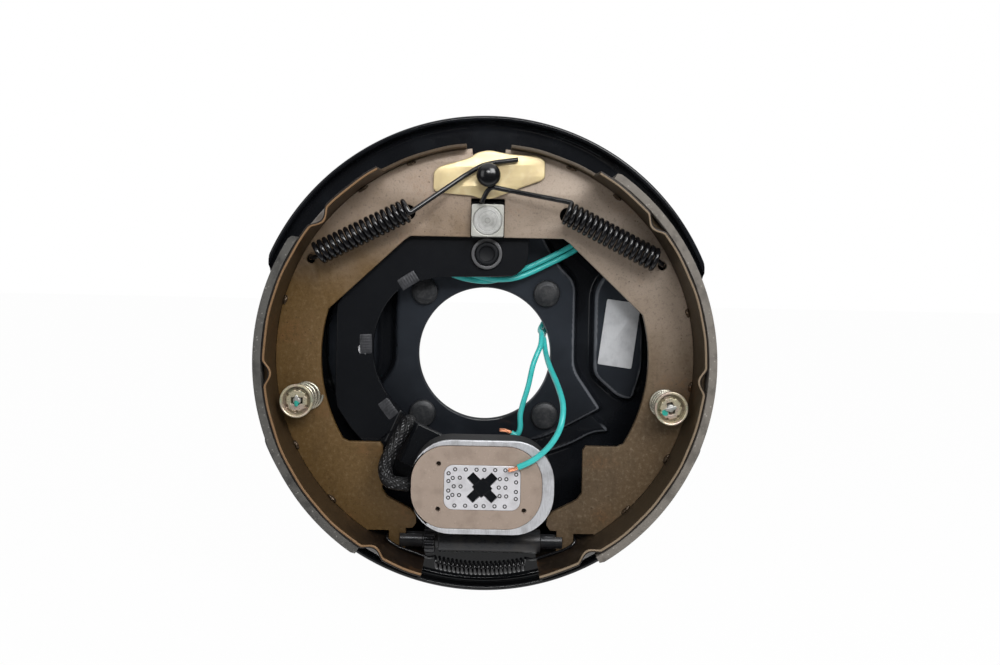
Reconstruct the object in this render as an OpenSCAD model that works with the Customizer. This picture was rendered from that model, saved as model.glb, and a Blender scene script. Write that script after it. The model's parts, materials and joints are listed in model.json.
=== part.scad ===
// Electric drum brake for a trailer axle, left-hand side, seen from the drum.
// Millimetres. X to the right, Z up, Y from the drum towards the axle.
// The origin is the centre of the spindle hole, on the face that bolts to the axle flange.

/* [Drum and shoes] */
// Inside diameter of the drum that the shoes work in
drum_d = 254; // [251:0.5:257]
// Running gap between lining and drum with the brake off
lining_gap = 0.5; // [0.3:0.1:0.9]
// Width of the shoes along the axle
shoe_w = 57.15; // [54:0.05:60]
// Thickness of the bonded lining
lining_t = 4.5; // [3.5:0.1:5]
// Thickness of the curved table that carries the lining
table_t = 2; // [1.6:0.1:2.5]
// Thickness of the flat web of a shoe
web_t = 3.4; // [3:0.1:4]
// Depth of the web from the table inwards, at its middle
web_depth = 26; // [22:0.5:28]
// Width of the narrow upper part of the table
narrow_w = 21; // [16:0.5:26]
// Degrees from the X axis at which the narrow part of the table begins
narrow_from = 60; // [56:0.5:63]
// Degrees from the X axis at which the table ends at the top
table_top = 84; // [80:0.5:85]
// Degrees below the X axis at which the table ends at the bottom
table_low = 74.5; // [72:0.5:75]
// Length in degrees of the long lining above the X axis
long_lining_top = 56; // [50:0.5:59]
// Length in degrees of the long lining below the X axis
long_lining_low = 59; // [55:0.5:65]
// Length in degrees of the short lining above the X axis
short_lining_top = 32; // [25:0.5:45]
// Length in degrees of the short lining below the X axis
short_lining_low = 57; // [50:0.5:62]

/* [Backing plate] */
// How much wider than the drum the rolled rim is
rim_margin = 31.6; // [28:0.1:38]
// How far the plate's two flat sides stand outside the drum's working face
flat_margin = 4; // [3:0.1:8]
// Thickness of the pressed steel
plate_t = 3.4; // [2.8:0.1:4]
// Height of the mounting pad above the floor of the plate
pad_rise = 7.5; // [6:0.1:9]
// Height of the rim above the floor of the plate
rim_h = 7.5; // [6:0.1:10]
// Diameter of the spindle hole
spindle_d = 78.6; // [72:0.1:84]
// How far the pad steps back above the axle flange, so that the rivets clear it
pad_step = 0.3; // [0.2:0.1:0.6]
// Side of the square on which the mounting studs stand
stud_square = 73; // [70:0.1:75]
// Diameter of the mounting studs
stud_d = 9.52; // [8:0.01:10]
// Length of the studs behind the mounting face
stud_l = 32; // [20:0.5:40]

/* [Anchor and arm] */
// Height of the anchor post above the centre
anchor_z = 103.5; // [102:0.1:105]
// Diameter of the anchor post where the webs bear on it
anchor_d = 16; // [14:0.1:17]
// Height of the arm's pivot above the centre
pivot_z = 59.3; // [59:0.1:59.8]
// Diameter of the arm's pivot post
pivot_d = 13.8; // [12:0.1:14.5]
// Height of the actuator block's pin above the centre
block_z = 78.2; // [77.6:0.1:78.8]
// Side of the square actuator block
block_w = 18.6; // [17.6:0.1:19]
// Thickness of the actuating arm
arm_t = 5; // [4:0.1:6]

/* [Magnet] */
// Height of the magnet's centre, below the spindle centre
magnet_z = -67.7; // [-69:0.1:-66]
// Length of the magnet
magnet_l = 78; // [74:0.5:80]
// Width of the magnet
magnet_w = 51; // [48:0.5:52]
// Thickness of the magnet
magnet_t = 19; // [17:0.5:20]

/* [Adjuster] */
// Height of the adjuster's axis, below the spindle centre
adjuster_z = -105.5; // [-106:0.1:-105]
// Diameter of the long adjuster nut
nut_d = 13.5; // [12:0.1:14]
// Diameter of the adjuster screw's thread
screw_d = 9; // [8:0.1:9.5]
// Diameter of the star wheel
star_d = 16; // [15:0.5:16.5]
// Teeth of the star wheel
star_teeth = 14; // [10:1:18]

/* [Springs and hold-downs] */
// Wire of the two return springs
return_wire = 2.5; // [2:0.1:2.8]
// Outside diameter of the return springs
return_d = 14; // [12:0.2:14.4]
// Turns of each return spring
return_turns = 17; // [14:1:18]
// Wire of the adjuster spring
link_wire = 1.6; // [1.2:0.1:1.8]
// Outside diameter of the adjuster spring
link_d = 7.8; // [7:0.1:8]
// Turns of the adjuster spring
link_turns = 21; // [16:1:24]
// Distance of each hold-down from the centre line
hold_x = 104.5; // [103:0.1:105]
// Height of the hold-downs, below the spindle centre
hold_z = -25; // [-26:0.1:-24]
// Diameter of the hold-down springs, at the middle of their wire
hold_spring_d = 15.2; // [13:0.1:16]
// Outside diameter of the hold-down cups
cup_d = 18.8; // [17:0.1:20]
// Diameter of a hold-down pin
hold_pin_d = 4.6; // [4:0.1:5]

/* [Leads] */
// Diameter of an insulated lead
lead_d = 3.2; // [2.8:0.1:3.4]
// Diameter of the braided sleeve on the magnet's leads
sleeve_d = 8; // [7.6:0.1:8.2]

/* [Hidden] */
$fn = 64;

// Clearances
run = 0.05;          // radial, on a pin that turns or slides
snug = 0.02;         // radial, between pieces pressed together
clear = 0.3;         // between pieces that move past each other
over = 1;            // how far a cut runs past the surface it opens
lap = 0.2;           // how far a joined shape lies behind the face of the one that it joins

// Places along Y
floor_y = pad_rise - plate_t;               // drum-side face of the plate's floor
back_y = pad_rise;                          // axle-side face of the plate's floor
pad_y = -plate_t;                           // drum-side face of the mounting pad
shoe_y1 = floor_y - clear;                  // axle-side edges of the shoes
shoe_y0 = shoe_y1 - shoe_w;                 // drum-side edges of the shoes
web_y = (shoe_y0 + shoe_y1) / 2;            // middle plane of the webs
web_y0 = web_y - web_t / 2;
web_y1 = web_y + web_t / 2;
arm_y0 = web_y1 + 2.2;                      // drum-side face of the arm
arm_y1 = arm_y0 + arm_t;
magnet_y0 = shoe_y0 - 2;                    // the magnet stands proud of the shoes
magnet_y1 = magnet_y0 + magnet_t;
foot_y0 = magnet_y1 + 4.9;                  // drum-side face of the arm's lower end
foot_y1 = foot_y0 + arm_t;

// Radii of the shoes
lining_r = drum_d / 2 - lining_gap;
table_r = lining_r - lining_t;
table_in = table_r - table_t;
web_in = table_in - web_depth;
plate_d = drum_d + rim_margin;              // outside diameter of the rolled rim
flat_x = drum_d / 2 + flat_margin;          // half width of the plate between its flat sides

// Anchor
neck_d = 9;
guide_t = 2;
guide_y0 = web_y0 - 0.6 - guide_t;
guide_y1 = guide_y0 + guide_t;
head_y = guide_y0 - 7.9;                    // underside of the post's head
head_h = 4.4;

// Actuator block
block_y1 = arm_y0 - clear;
block_y0 = web_y0 - 4.9;
block_pin_d = block_w - 2.2;
notch_x = block_w / 2 + clear;              // half width of the gap that the webs leave for the block
notch_top = block_z + block_w / 2 + 1;
notch_low = block_z - block_w / 2 - 0.1;

// Adjuster, from left to right
stop_x = 43.2;                              // faces of the webs that the adjuster pushes on
ear_x = stop_x + 3.4;                       // tips of the forked ends
socket_d = 8.8;
fork_d = 8;
socket_x = -33;
washer_t = 0.6;
star_x0 = socket_x + washer_t + 0.1;
star_t = 6;
star_x1 = star_x0 + star_t;
nut_x0 = star_x1 + 2;
nut_x1 = 34;
shank_d = 6;
fork_slot = web_t + 0.4;

// Hold-downs
cup_y = web_y0 - 11.3;                      // axle-side face of the cup
cup_floor = 1.2;
cup_rim = 4.2;
hold_wire = 1.6;

// Grommet and leads
grommet = [62, 70];
grommet_d = 13;
grommet_hole_d = 10;
grommet_lip = 1.5;
lead_pitch = lead_d + 0.4;

// A unit vector
function unit(v) = v / norm(v);
// Heading of a route at its point i
function heading(p, i) = unit(p[min(i + 1, len(p) - 1)] - p[max(i - 1, 0)]);
// The part of v that is square to the unit vector d
function square_to(v, d) = unit(v - d * (v * d));
// Two directions across a route at each of its points, carried along it without twist
function across(p, i = 0, last = [0.31, 0.17, 1]) = i == len(p) ? [] :
    let (d = heading(p, i), n = square_to(last, d))
    concat([[n, cross(d, n)]], across(p, i + 1, n));
// A smooth curve through the points p, with n steps to a span
function smooth(p, n) = [
    for (i = [0:len(p) - 2], k = [0:n - 1 + (i == len(p) - 2 ? 1 : 0)])
        let (a = p[max(i - 1, 0)], b = p[i], c = p[i + 1], d = p[min(i + 2, len(p) - 1)], t = k / n)
        (2 * b + (c - a) * t + (2 * a - 5 * b + 4 * c - d) * t * t
            + (3 * b - a - 3 * c + d) * t * t * t) / 2
];
// A route moved off by r, to the side that lies turn degrees round it, with a half twist from point i0 to i1
function beside(p, r, turn, i0, i1) =
    let (ways = across(p))
    [for (i = [0:len(p) - 1])
        let (w = turn + 180 * min(max((i - i0) / (i1 - i0), 0), 1))
        p[i] + r * (cos(w) * ways[i][0] + sin(w) * ways[i][1])];
// Points on an arc round c from angle a0 to a1
function arc(c, r, a0, a1, n) = [
    for (i = [0:n]) let (a = a0 + (a1 - a0) * i / n) [c[0] + r * cos(a), c[1] + r * sin(a)]
];
// Turns of wire of radius r on the axis from a to b
function helix(a, b, r, turns, steps) =
    let (d = unit(b - a), u = square_to(abs(d[1]) > 0.9 ? [1, 0, 0] : [0, 1, 0], d), v = cross(d, u))
    [for (i = [0:turns * steps]) let (w = 360 * i / steps)
        a + (b - a) * i / (turns * steps) + r * (cos(w) * u + sin(w) * v)];
// Corners of a rectangle with round corners, centred
function rounded(w, h, r, n = 8) = concat(
    arc([w / 2 - r, h / 2 - r], r, 0, 90, n), arc([r - w / 2, h / 2 - r], r, 90, 180, n),
    arc([r - w / 2, r - h / 2], r, 180, 270, n), arc([w / 2 - r, r - h / 2], r, 270, 360, n)
);

// Round wire or cable along the points p
module wire(p, d, sides = 8) {
    ways = across(p);
    last = len(p) - 1;
    polyhedron(
        points = [for (i = [0:last], k = [0:sides - 1])
            let (w = 360 * k / sides) p[i] + d / 2 * (cos(w) * ways[i][0] + sin(w) * ways[i][1])],
        faces = concat(
            [[for (k = [0:sides - 1]) k]],
            [for (i = [0:last - 1], k = [0:sides - 1])
                let (m = (k + 1) % sides)
                [i * sides + k, (i + 1) * sides + k, (i + 1) * sides + m]],
            [for (i = [0:last - 1], k = [0:sides - 1])
                let (m = (k + 1) % sides)
                [i * sides + k, (i + 1) * sides + m, i * sides + m]],
            [[for (k = [sides - 1:-1:0]) last * sides + k]]
        )
    );
}
// A flat shape in X and Z made solid from y0 to y1
module slab(y0, y1) { translate([0, y1, 0]) rotate([90, 0, 0]) linear_extrude(y1 - y0) children(); }
// A round bar along Y
module rod(x, z, d, y0, y1) { translate([x, y1, z]) rotate([90, 0, 0]) cylinder(d = d, h = y1 - y0); }
// A profile of radius and Y, turned about the Y axis through x and z
module turned(x = 0, z = 0) { translate([x, 0, z]) rotate([-90, 0, 0]) rotate_extrude() children(); }
// A curved strip between two radii, two angles and two places on Y
module band(r0, r1, a0, a1, y0, y1) {
    rotate([90, 0, 0]) rotate([0, 0, a0]) rotate_extrude(angle = a1 - a0)
        translate([r0, -y1]) square([r1 - r0, y1 - y0]);
}
// A round bar along X on the adjuster's axis
module bar(d, x0, x1) { translate([x0, web_y, adjuster_z]) rotate([0, 90, 0]) cylinder(d = d, h = x1 - x0); }
// The same thing on the left and on the right
module both_sides() { children(); mirror([1, 0, 0]) children(); }

// Backing plate: outlines of its raised parts, right half
pad_side = 55;                               // half width of the mounting pad
flare = [[pad_side, -8], [72, -32.5], [66, -36], [45, -47.5], [34, -52.5], [0, -57]];
pad_half = concat([[0, 116], [19, 116], [28, 90], [36, 68], [44.5, 54.5], [pad_side, 44]], flare);
step_half = [[0, -50], [60, -30], [75.7, -44], [76, -47], [66, -48], [56, -54], [45, -58.5], [36, -61.5],
    [0, -66]];
island = [[64.5, 40], [64.5, -9], [66.5, -14], [80, -26], [90, -28], [96, -8], [96, 20], [86, 42], [72, 52]];
land_top = 49.5;                             // upper edge of the face that bolts to the axle flange

module whole(half) {
    polygon(half);
    mirror([1, 0]) polygon(half);
}
module pad_shape(inset) { offset(r = 3) offset(delta = -3 - inset) whole(pad_half); }
module above_land() {
    intersection() {
        pad_shape(plate_t + lap);
        translate([-pad_side, land_top]) square([2 * pad_side, plate_d / 2 - land_top]);
    }
}
module step_shape(inset) { offset(r = 2) offset(delta = -2 - inset) whole(step_half); }
module island_shape(inset) {
    offset(r = 4) offset(delta = -4 - inset) {
        polygon(island);
        mirror([1, 0]) polygon(island);
    }
}
module plate_body() {
    rim_r = plate_d / 2;
    rim_in = rim_r - 3;
    lip = floor_y - rim_h;
    bend = 4.5;
    intersection() {
        turned() polygon(concat(
            [[0, floor_y]], arc([rim_in - bend, floor_y - bend], bend, 90, 0, 8),
            arc([rim_in + 1.5, lip + 1.5], 1.5, 180, 360, 8),
            arc([rim_r - bend - 3, back_y - bend - 3], bend + 3, 0, 90, 8), [[0, back_y]]
        ));
        slab(lip - over, back_y + over) square([2 * flat_x, plate_d + 2 * over], center = true);
    }
    slab(pad_y, back_y) pad_shape(0);
    slab(pad_y, back_y) island_shape(0);
    slab(floor_y - plate_t, back_y) step_shape(0);
}
module backing_plate() {
    color("#16181a") difference() {
        plate_body();
        slab(0, back_y + over) pad_shape(plate_t);
        slab(-pad_step, over) above_land();
        slab(0, back_y + over) island_shape(plate_t);
        slab(floor_y, back_y + over) step_shape(plate_t);
        rod(0, 0, spindle_d, pad_y - over, back_y + over);
        at_studs() rod(0, 0, shoulder_d + 2 * snug, pad_y - over, back_y + over);
        rod(0, anchor_z, anchor_d - 3 + 2 * snug, pad_y - over, back_y + over);
        rod(0, pivot_z, pivot_d - 2 + 2 * snug, pad_y - over, back_y + over);
        both_sides() rod(hold_x, hold_z, hold_pin_d + 0.6, pad_y - over, back_y + over);
        rod(grommet[0], grommet[1], grommet_hole_d, floor_y - over, back_y + over);
        both_sides() slab(floor_y - over, back_y + over) slot_shape(0);
    }
}
module at_studs() {
    for (x = [-1, 1], z = [-1, 1]) translate([x * stud_square / 2, 0, z * stud_square / 2]) children();
}
module slot_shape(gap) { translate([38, adjuster_z - 2]) polygon(rounded(22 - 2 * gap, 9 - 2 * gap, 3)); }

// Round-headed studs, pressed in from the drum side
stud_head_d = 16;
stud_head_h = 3.6;
shoulder_d = stud_d + 0.9;                   // knurled part that is pressed into the plate
module mounting_studs() {
    color("#26282b") at_studs() turned() polygon([
        [0, pad_y - stud_head_h], [6.6, pad_y - stud_head_h + 0.3], [stud_head_d / 2, pad_y - 2.2],
        [stud_head_d / 2, pad_y], [shoulder_d / 2, pad_y], [shoulder_d / 2, 0], [stud_d / 2, 0],
        [stud_d / 2, stud_l], [0, stud_l]]);
}
// Rubber plugs in the two adjusting slots
module slot_plugs() {
    color("#1b1b1c") both_sides() {
        slab(floor_y, back_y) slot_shape(snug);
        slab(back_y, back_y + 1.8) slot_shape(-2);
    }
}
// Thin metal plate with nothing on it
module blank_plate() {
    color("silver") slab(pad_y - 0.4, pad_y)
        translate([80.5, 13.2]) rotate(-7.3) square([20.5, 39.5], center = true);
}
module wire_grommet() {
    color("#1b1b1c") turned(grommet[0], grommet[1]) polygon([
        [0, floor_y - grommet_lip], [grommet_d / 2 - 0.6, floor_y - grommet_lip], [grommet_d / 2, floor_y],
        [grommet_hole_d / 2 - snug, floor_y], [grommet_hole_d / 2 - snug, back_y],
        [grommet_d / 2, back_y], [grommet_d / 2 - 0.6, back_y + grommet_lip], [0, back_y + grommet_lip]]);
}

// Anchor post, riveted into the top of the pad
module anchor_post() {
    r = anchor_d / 2;
    head_r = 6.85;
    color("#141414") turned(0, anchor_z) polygon(concat(
        [[0, 3.5], [r - 0.5, 3.5], [r + 0.8, 1], [r + 0.8, -pad_step], [r - 1.5, -pad_step], [r - 1.5, pad_y],
            [r + 3, pad_y], [r + 3, pad_y - 2.5], [r, pad_y - 3.5], [r, guide_y1], [neck_d / 2, guide_y1],
            [neck_d / 2, head_y], [head_r, head_y]],
        arc([head_r - 3.2, head_y - head_h + 3.2], 3.2, 0, -90, 6), [[0, head_y - head_h - 0.4]]
    ));
}
// Pressed plate that keeps the shoes on the anchor
guide_low = [[-31.4, -9], [-25.4, -10], [-8.5, -11.2], [-5.6, -12.5], [2, -13], [10.6, -9.4], [18.2, -6.2],
    [30.3, -1.8]];
guide_high = [[32.3, 0], [32.3, 10], [27.7, 12.4], [9, 13.4], [0, 15.2], [-6.8, 13.6], [-10.8, 10.6],
    [-28.7, 5], [-31.4, 2]];
module anchor_guide_plate() {
    color("#c8ad6a") difference() {
        slab(guide_y0, guide_y1) translate([0, anchor_z]) polygon(concat(guide_low, guide_high));
        rod(0, anchor_z, neck_d + 2 * run, guide_y0 - over, guide_y1 + over);
    }
}
// Post on which the arm swings, riveted into the pad
module pivot_post() {
    r = pivot_d / 2;
    front = arm_y0 - 3.5;
    color("#1d1e20") difference() {
        turned(0, pivot_z) polygon([[0, 2], [r + 2, 2], [r + 2, -pad_step], [r - 1, -pad_step], [r - 1, pad_y],
            [r + 6, pad_y],
            [r + 6, pad_y - 2.6], [r + 2, arm_y1 + clear], [r, arm_y1 + clear],
            [r, front + 0.8], [r - 0.8, front], [0, front]]);
        rod(0, pivot_z, 9, front - over, front + 1.5);
    }
}
module pivot_ring() {
    color("#8d8f92") difference() {
        rod(0, pivot_z, 17.9, arm_y0 - 1.9, arm_y0 - 0.4);
        rod(0, pivot_z, pivot_d + 2 * run, arm_y0 - 3, arm_y0 + 1);
    }
}

// Shoes, drawn on the right and mirrored for the left
inner_knee = [47.5, notch_low - 2.4];
link_x = 53;                                 // edge of the slot that the adjuster spring hooks on
web_outline = concat(
    [[notch_x, notch_low], [inner_knee[0] - 3.5, notch_low], inner_knee],
    arc([0, 0], web_in, 16, -31, 14),
    [[77, -50], [59, -50], [57.3, -52.5], [57.3, -77], [54.5, -81], [41, -88], [37.6, -91.5], [37.3, -96],
        [39.5, -99], [stop_x, -99], [stop_x, -126], [link_x, -126], [link_x, -100.5], [64.7, -100.5],
        [64.7, -126]],
    [[126, -95], [150, 0], [126, 90], [70, 130], [12, 135], [9, anchor_z + 12], [0.8, anchor_z + 9],
        [0.8, notch_top], [notch_x, notch_top]]
);
module web() {
    intersection() {
        difference() {
            slab(web_y0, web_y1) polygon(web_outline);
            rod(0, anchor_z, anchor_d + 0.3, web_y0 - over, web_y1 + over);
            rod(spring_in[0], spring_in[2], 9, web_y0 - over, web_y1 + over);
            rod(hook_x, hook_z, hook_hole_d, web_y0 - over, web_y1 + over);
            rod(hold_x, hold_z, hold_pin_d + 6.4, web_y0 - over, web_y1 + over);
        }
        rod(0, 0, 2 * table_in, web_y0 - over, web_y1 + over);
    }
}
crimp_at = [40, -4, -60.5];
crimp_l = 6.8;
module crimp(a) {
    for (y = [shoe_y0 + lap, shoe_y1 - lap - crimp_l])
        slab(y, y + crimp_l) polygon([
            [(table_in + 1) * cos(a - 3.7), (table_in + 1) * sin(a - 3.7)],
            [(table_in + 1) * cos(a + 3.7), (table_in + 1) * sin(a + 3.7)],
            [(table_in - 3.6) * cos(a), (table_in - 3.6) * sin(a)]]);
}
module table() {
    difference() {
        band(table_in, table_r, -table_low, table_top, shoe_y0, shoe_y1);
        for (y = [[shoe_y0 - over, web_y - narrow_w / 2], [web_y + narrow_w / 2, shoe_y1 + over]])
            band(table_in - over, table_r + over, narrow_from, table_top + over, y[0], y[1]);
    }
    for (a = crimp_at) crimp(a);
}
module lining(low, top) { band(table_r, lining_r, -low, top, shoe_y0, shoe_y1); }
module secondary_web() { color("#8a7452") web(); }
module secondary_table() { color("#8a7452") table(); }
module secondary_lining() { color("#8e8f8c") lining(long_lining_low, long_lining_top); }
module primary_web() { color("#94703f") mirror([1, 0, 0]) web(); }
module primary_table() { color("#94703f") mirror([1, 0, 0]) table(); }
module primary_lining() { color("#8e8f8c") mirror([1, 0, 0]) lining(short_lining_low, short_lining_top); }

// Return springs, from the outer hole of a web to the neck of the anchor post
spring_y = web_y0 - 12.9;
spring_in = [46, spring_y, 82.2];
spring_out = [95, spring_y, 57.2];
hook_x = 101;
hook_z = 54.5;
hook_hole_d = 5;
return_r = (return_d - return_wire) / 2;
loop_r = neck_d / 2 + clear + return_wire / 2;
hook_way = unit(spring_in - spring_out);      // the wire bears on the side of its hole that it is pulled to
hook_at = [hook_x, 0, hook_z] + hook_way * (hook_hole_d / 2 - return_wire / 2 - clear);
far_hook = [hook_at + [0, web_y1 + 3, 0], hook_at + [0, web_y0 - 4, 0], hook_at + [-1, web_y0 - 8, 0.5]];
module return_spring(to_post, left) {
    coil = helix(spring_out, spring_in, return_r, return_turns, 10);
    way = concat(far_hook, coil, [spring_in + [-3, 0, 1.4]], to_post);
    color("#141414") mirror([left ? 1 : 0, 0, 0]) wire(way, return_wire, 6);
}
upper_y = guide_y0 - 5.8;                    // the right spring lies over the left one on the post
lower_y = guide_y0 - 2.1;
module primary_return_spring() {
    return_spring([[36, spring_y, 86.6], [14, lower_y - 2, anchor_z - 0.6],
        [4.5, lower_y, anchor_z + loop_r - 0.6], [0, lower_y, anchor_z + loop_r + 0.8],
        [-5, lower_y, anchor_z + loop_r + 1.8],
        [-16.6, lower_y, anchor_z + 9.6]], true);
}
module secondary_return_spring() {
    return_spring([[36, spring_y, 87.6], [12, upper_y - 1, anchor_z - 8.2],
        [2, upper_y, anchor_z - loop_r - 0.2], [-0.5, upper_y, anchor_z - loop_r - 2.4],
        [-3.7, upper_y, anchor_z - 15.5]], false);
}
// Adjuster spring, bowed under the adjuster between the tables
link_half = 26;
link_low = -121.5;
link_rise = 3;
link_r = (link_d - link_wire) / 2;
link_steps = 10;
module adjuster_spring() {
    hook_side = link_x + link_wire / 2 + clear;
    hook = [[hook_side, web_y1 + 3, -104], [hook_side, web_y0 - 1.4, -104], [52, web_y0 - 2.6, -106.2],
        [46.6, web_y0 - 2.2, -109.4], [38, web_y0 - 1.8, -112.2], [32.5, web_y0 - 1.6, -114.3],
        [29.5, web_y0 - 0.9, -115.2]];
    total = link_turns * link_steps;
    coil = [for (i = [0:total])
        let (x = link_half * (2 * i / total - 1), w = 360 * i / link_steps + 90, s = x / link_half)
        [x, web_y + link_r * cos(w), link_low + link_rise * s * s + link_r * sin(w)]];
    left = [for (p = hook) [-p[0], p[1], p[2]]];
    right = [for (i = [len(hook) - 1:-1:0]) hook[i]];
    color("#202224") wire(concat(left, coil, right), link_wire, 6);
}

// Adjuster
module fork(x, way) {
    translate([x, web_y - fork_slot / 2, adjuster_z - nut_d]) cube([abs(way), fork_slot, 2 * nut_d]);
}
module adjuster_socket() {
    color("#2a2c2e") difference() {
        bar(socket_d, -ear_x, socket_x);
        bar(shank_d + 2 * run, -stop_x + 3, socket_x + over);
        fork(-ear_x - over, ear_x - stop_x + clear + over);
    }
}
module thrust_washer() {
    color("#7d7f82") difference() {
        bar(shank_d + 5, socket_x, socket_x + washer_t);
        bar(shank_d + 2 * run, socket_x - over, socket_x + washer_t + over);
    }
}
module adjuster_star_screw() {
    color("#232527") {
        bar(shank_d, -stop_x + 4, star_x0);
        translate([star_x0, web_y, adjuster_z]) rotate([0, 90, 0]) linear_extrude(star_t)
            polygon([for (i = [0:4 * star_teeth - 1])
                let (a = 90 * i / star_teeth, r = star_d / 2 - (i % 4 < 2 ? 0 : 1.8)) [r * cos(a), r * sin(a)]]);
        bar(screw_d, star_x1, 14);
    }
}
module adjuster_nut() {
    color("#232527") difference() {
        union() {
            bar(nut_d, nut_x0, nut_x1);
            bar(fork_d, nut_x1, ear_x);
        }
        bar(screw_d + 2 * run, nut_x0 - over, 20);
        fork(stop_x - clear, ear_x - stop_x + clear + over);
    }
}

// Actuating arm: a bowed plate that goes round the spindle hole, with a lower end that steps forward
bow = [-18, 4];
bow_r = 47;
arm_outline = concat(
    [[24.5, 74], [24.5, 63]], arc([10.5, 60], 14, 0, -70, 6), [[3, 46], [-27, 45.5]],
    arc(bow, bow_r, 128, 222, 16),
    [[-44.6, -36], [-64, -54], [-69, -52], [-77.3, -42.8], [-85, -31.4], [-86.3, -23.4], [-86.3, 28.9],
        [-80, 38], [-62, 58], [-45, 70], [-20, 84], [-10, 90], [10, 90], [20, 84]]
);
foot_from = [-60, -41];
foot_way = [0, magnet_z] - foot_from;
foot_len = norm(foot_way);
foot_turn = atan2(foot_way[1], foot_way[0]);
foot_w = 24;
foot_eye_d = 28;
tabs = [[-45, 43.2, 33], [-69.1, 6, 92], [-55.5, -31.4, 128]];
tab_hole = [11, 6.5];
tab_t = 1.5;
tab_reach = 8.5;
tab_room = lead_d + 2 * clear;
module at_tabs() {
    for (t = tabs)
        translate([t[0], 0, t[1]]) rotate([0, -t[2], 0]) translate([-tab_hole[0] / 2, 0, 0]) children();
}
// Strip bent back out of the arm, with a lip that keeps the leads against it
module tab() {
    foot_in = arm_t / 2;
    translate([0, 0, tab_hole[1] / 2 + clear]) rotate([90, 0, 90]) linear_extrude(tab_hole[0]) polygon([
        [arm_y1 - foot_in, 0], [arm_y1 + tab_room + tab_t, 0], [arm_y1 + tab_room + tab_t, tab_reach],
        [arm_y1 + tab_room, tab_reach], [arm_y1 + tab_room, tab_t], [arm_y1 - foot_in, tab_t]]);
}
module arm_foot() {
    translate([foot_from[0], 0, foot_from[1]]) rotate([0, -foot_turn, 0])
        translate([0, 0, -foot_w / 2]) linear_extrude(foot_w)
            polygon([[-6, arm_y0 + lap], [7, arm_y0 + lap], [20, foot_y0], [foot_len, foot_y0], [foot_len, foot_y1],
                [21.5, foot_y1], [8.5, arm_y1 - lap], [-6, arm_y1 - lap]]);
}
module actuating_arm() {
    color("#17181a") {
        arm_plate();
        at_tabs() tab();
    }
}
module arm_plate() {
    difference() {
        union() {
            slab(arm_y0, arm_y1) polygon(arm_outline);
            arm_foot();
            rod(0, magnet_z, foot_eye_d, foot_y0 + lap, foot_y1 - lap);
        }
        at_tabs() translate([0, arm_y0 - over, -tab_hole[1] / 2])
            cube([tab_hole[0], arm_t + 2 * over, tab_hole[1]]);
        rod(0, pivot_z, pivot_d + 4, arm_y0 - over, arm_y1 + over);
        rod(0, block_z, 9.9, arm_y0 - over, arm_y1 + over);
        rod(0, magnet_z, magnet_pin_d, foot_y0 - over, foot_y1 + over);
    }
}
module arm_bushing() {
    color("#8a7a5a") difference() {
        rod(0, pivot_z, pivot_d + 4 - 2 * snug, arm_y0, arm_y1);
        rod(0, pivot_z, pivot_d + 2 * run, arm_y0 - over, arm_y1 + over);
    }
}
module block_pin() {
    color("#b9bbbd") {
        rod(0, block_z, block_pin_d, block_y0, arm_y0);
        rod(0, block_z, 9.9 - 2 * snug, arm_y0, arm_y1);
    }
}
module actuator_block() {
    color("#b4b6b8") difference() {
        slab(block_y0, block_y1) translate([0, block_z]) polygon(rounded(block_w, block_w, 1, 3));
        rod(0, block_z, block_pin_d + 2 * run, block_y0 - over, block_y1 + over);
    }
}

// Magnet
magnet_r = 22;
face_l = magnet_l - 6.6;
face_w = magnet_w - 6;
face_x = -(magnet_l - face_l) / 2 + 0.2;
face_t = 3;
core_l = 41.4;
core_w = 24.1;
core_r = 5;
core_plate_t = 2.4;
coil_end = magnet_y1 - 5;
magnet_pin_d = 10;
clip_bar = 4.3;
clip_l = 18.4;
clip_y0 = magnet_y0 + 1;
clip_y1 = magnet_y0 + 5.8;
module at_magnet() { translate([0, 0, magnet_z]) children(); }
module face_shape(gap) {
    translate([face_x, 0]) polygon(rounded(face_l - 2 * gap, face_w - 2 * gap, magnet_r - 2.5 - gap, 10));
}
module core_shape(gap) { polygon(rounded(core_l - 2 * gap, core_w - 2 * gap, core_r - gap)); }
clip_hub = 7.4;
module hub_shape(gap) { rotate(40) square(clip_hub - 2 * gap, center = true); }
module cross_shape(gap) {
    for (a = [45, 135]) rotate(a) square([clip_l - 2 * gap, clip_bar - 2 * gap], center = true);
    hub_shape(gap);
}
module magnet_housing() {
    color("#9b9da0") at_magnet() difference() {
        slab(magnet_y0 + 0.5, magnet_y1) polygon(rounded(magnet_l, magnet_w, magnet_r, 10));
        difference() {
            slab(magnet_y0 - over, coil_end) face_shape(0.1);
            slab(magnet_y0 + core_plate_t, coil_end + over) core_shape(0);
        }
        rod(0, 0, 21, magnet_y0 - over, clip_y1 + clear);
        rod(0, 0, magnet_pin_d + 2 * run, magnet_y0 - over, magnet_y1 + over);
    }
}
module magnet_coil() {
    color("#a4552b") at_magnet() difference() {
        slab(magnet_y0 + face_t + 0.4, coil_end - 0.3) face_shape(1);
        slab(magnet_y0, coil_end + over) core_shape(-1);
    }
}
module magnet_face() {
    color("#b7a48f") at_magnet() difference() {
        slab(magnet_y0, magnet_y0 + face_t) face_shape(0.2);
        slab(magnet_y0 - over, magnet_y0 + face_t + over) core_shape(-0.1);
        for (x = [-23.8, 22.8], z = [-12, 12.6]) rod(x, z, 2.6, magnet_y0 - over, magnet_y0 + face_t + over);
    }
}
module magnet_core_plate() {
    color("#c9cbcd") at_magnet() difference() {
        slab(magnet_y0, magnet_y0 + core_plate_t) core_shape(0);
        slab(magnet_y0 - over, magnet_y0 + core_plate_t + over) cross_shape(-clear);
    }
}
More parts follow.
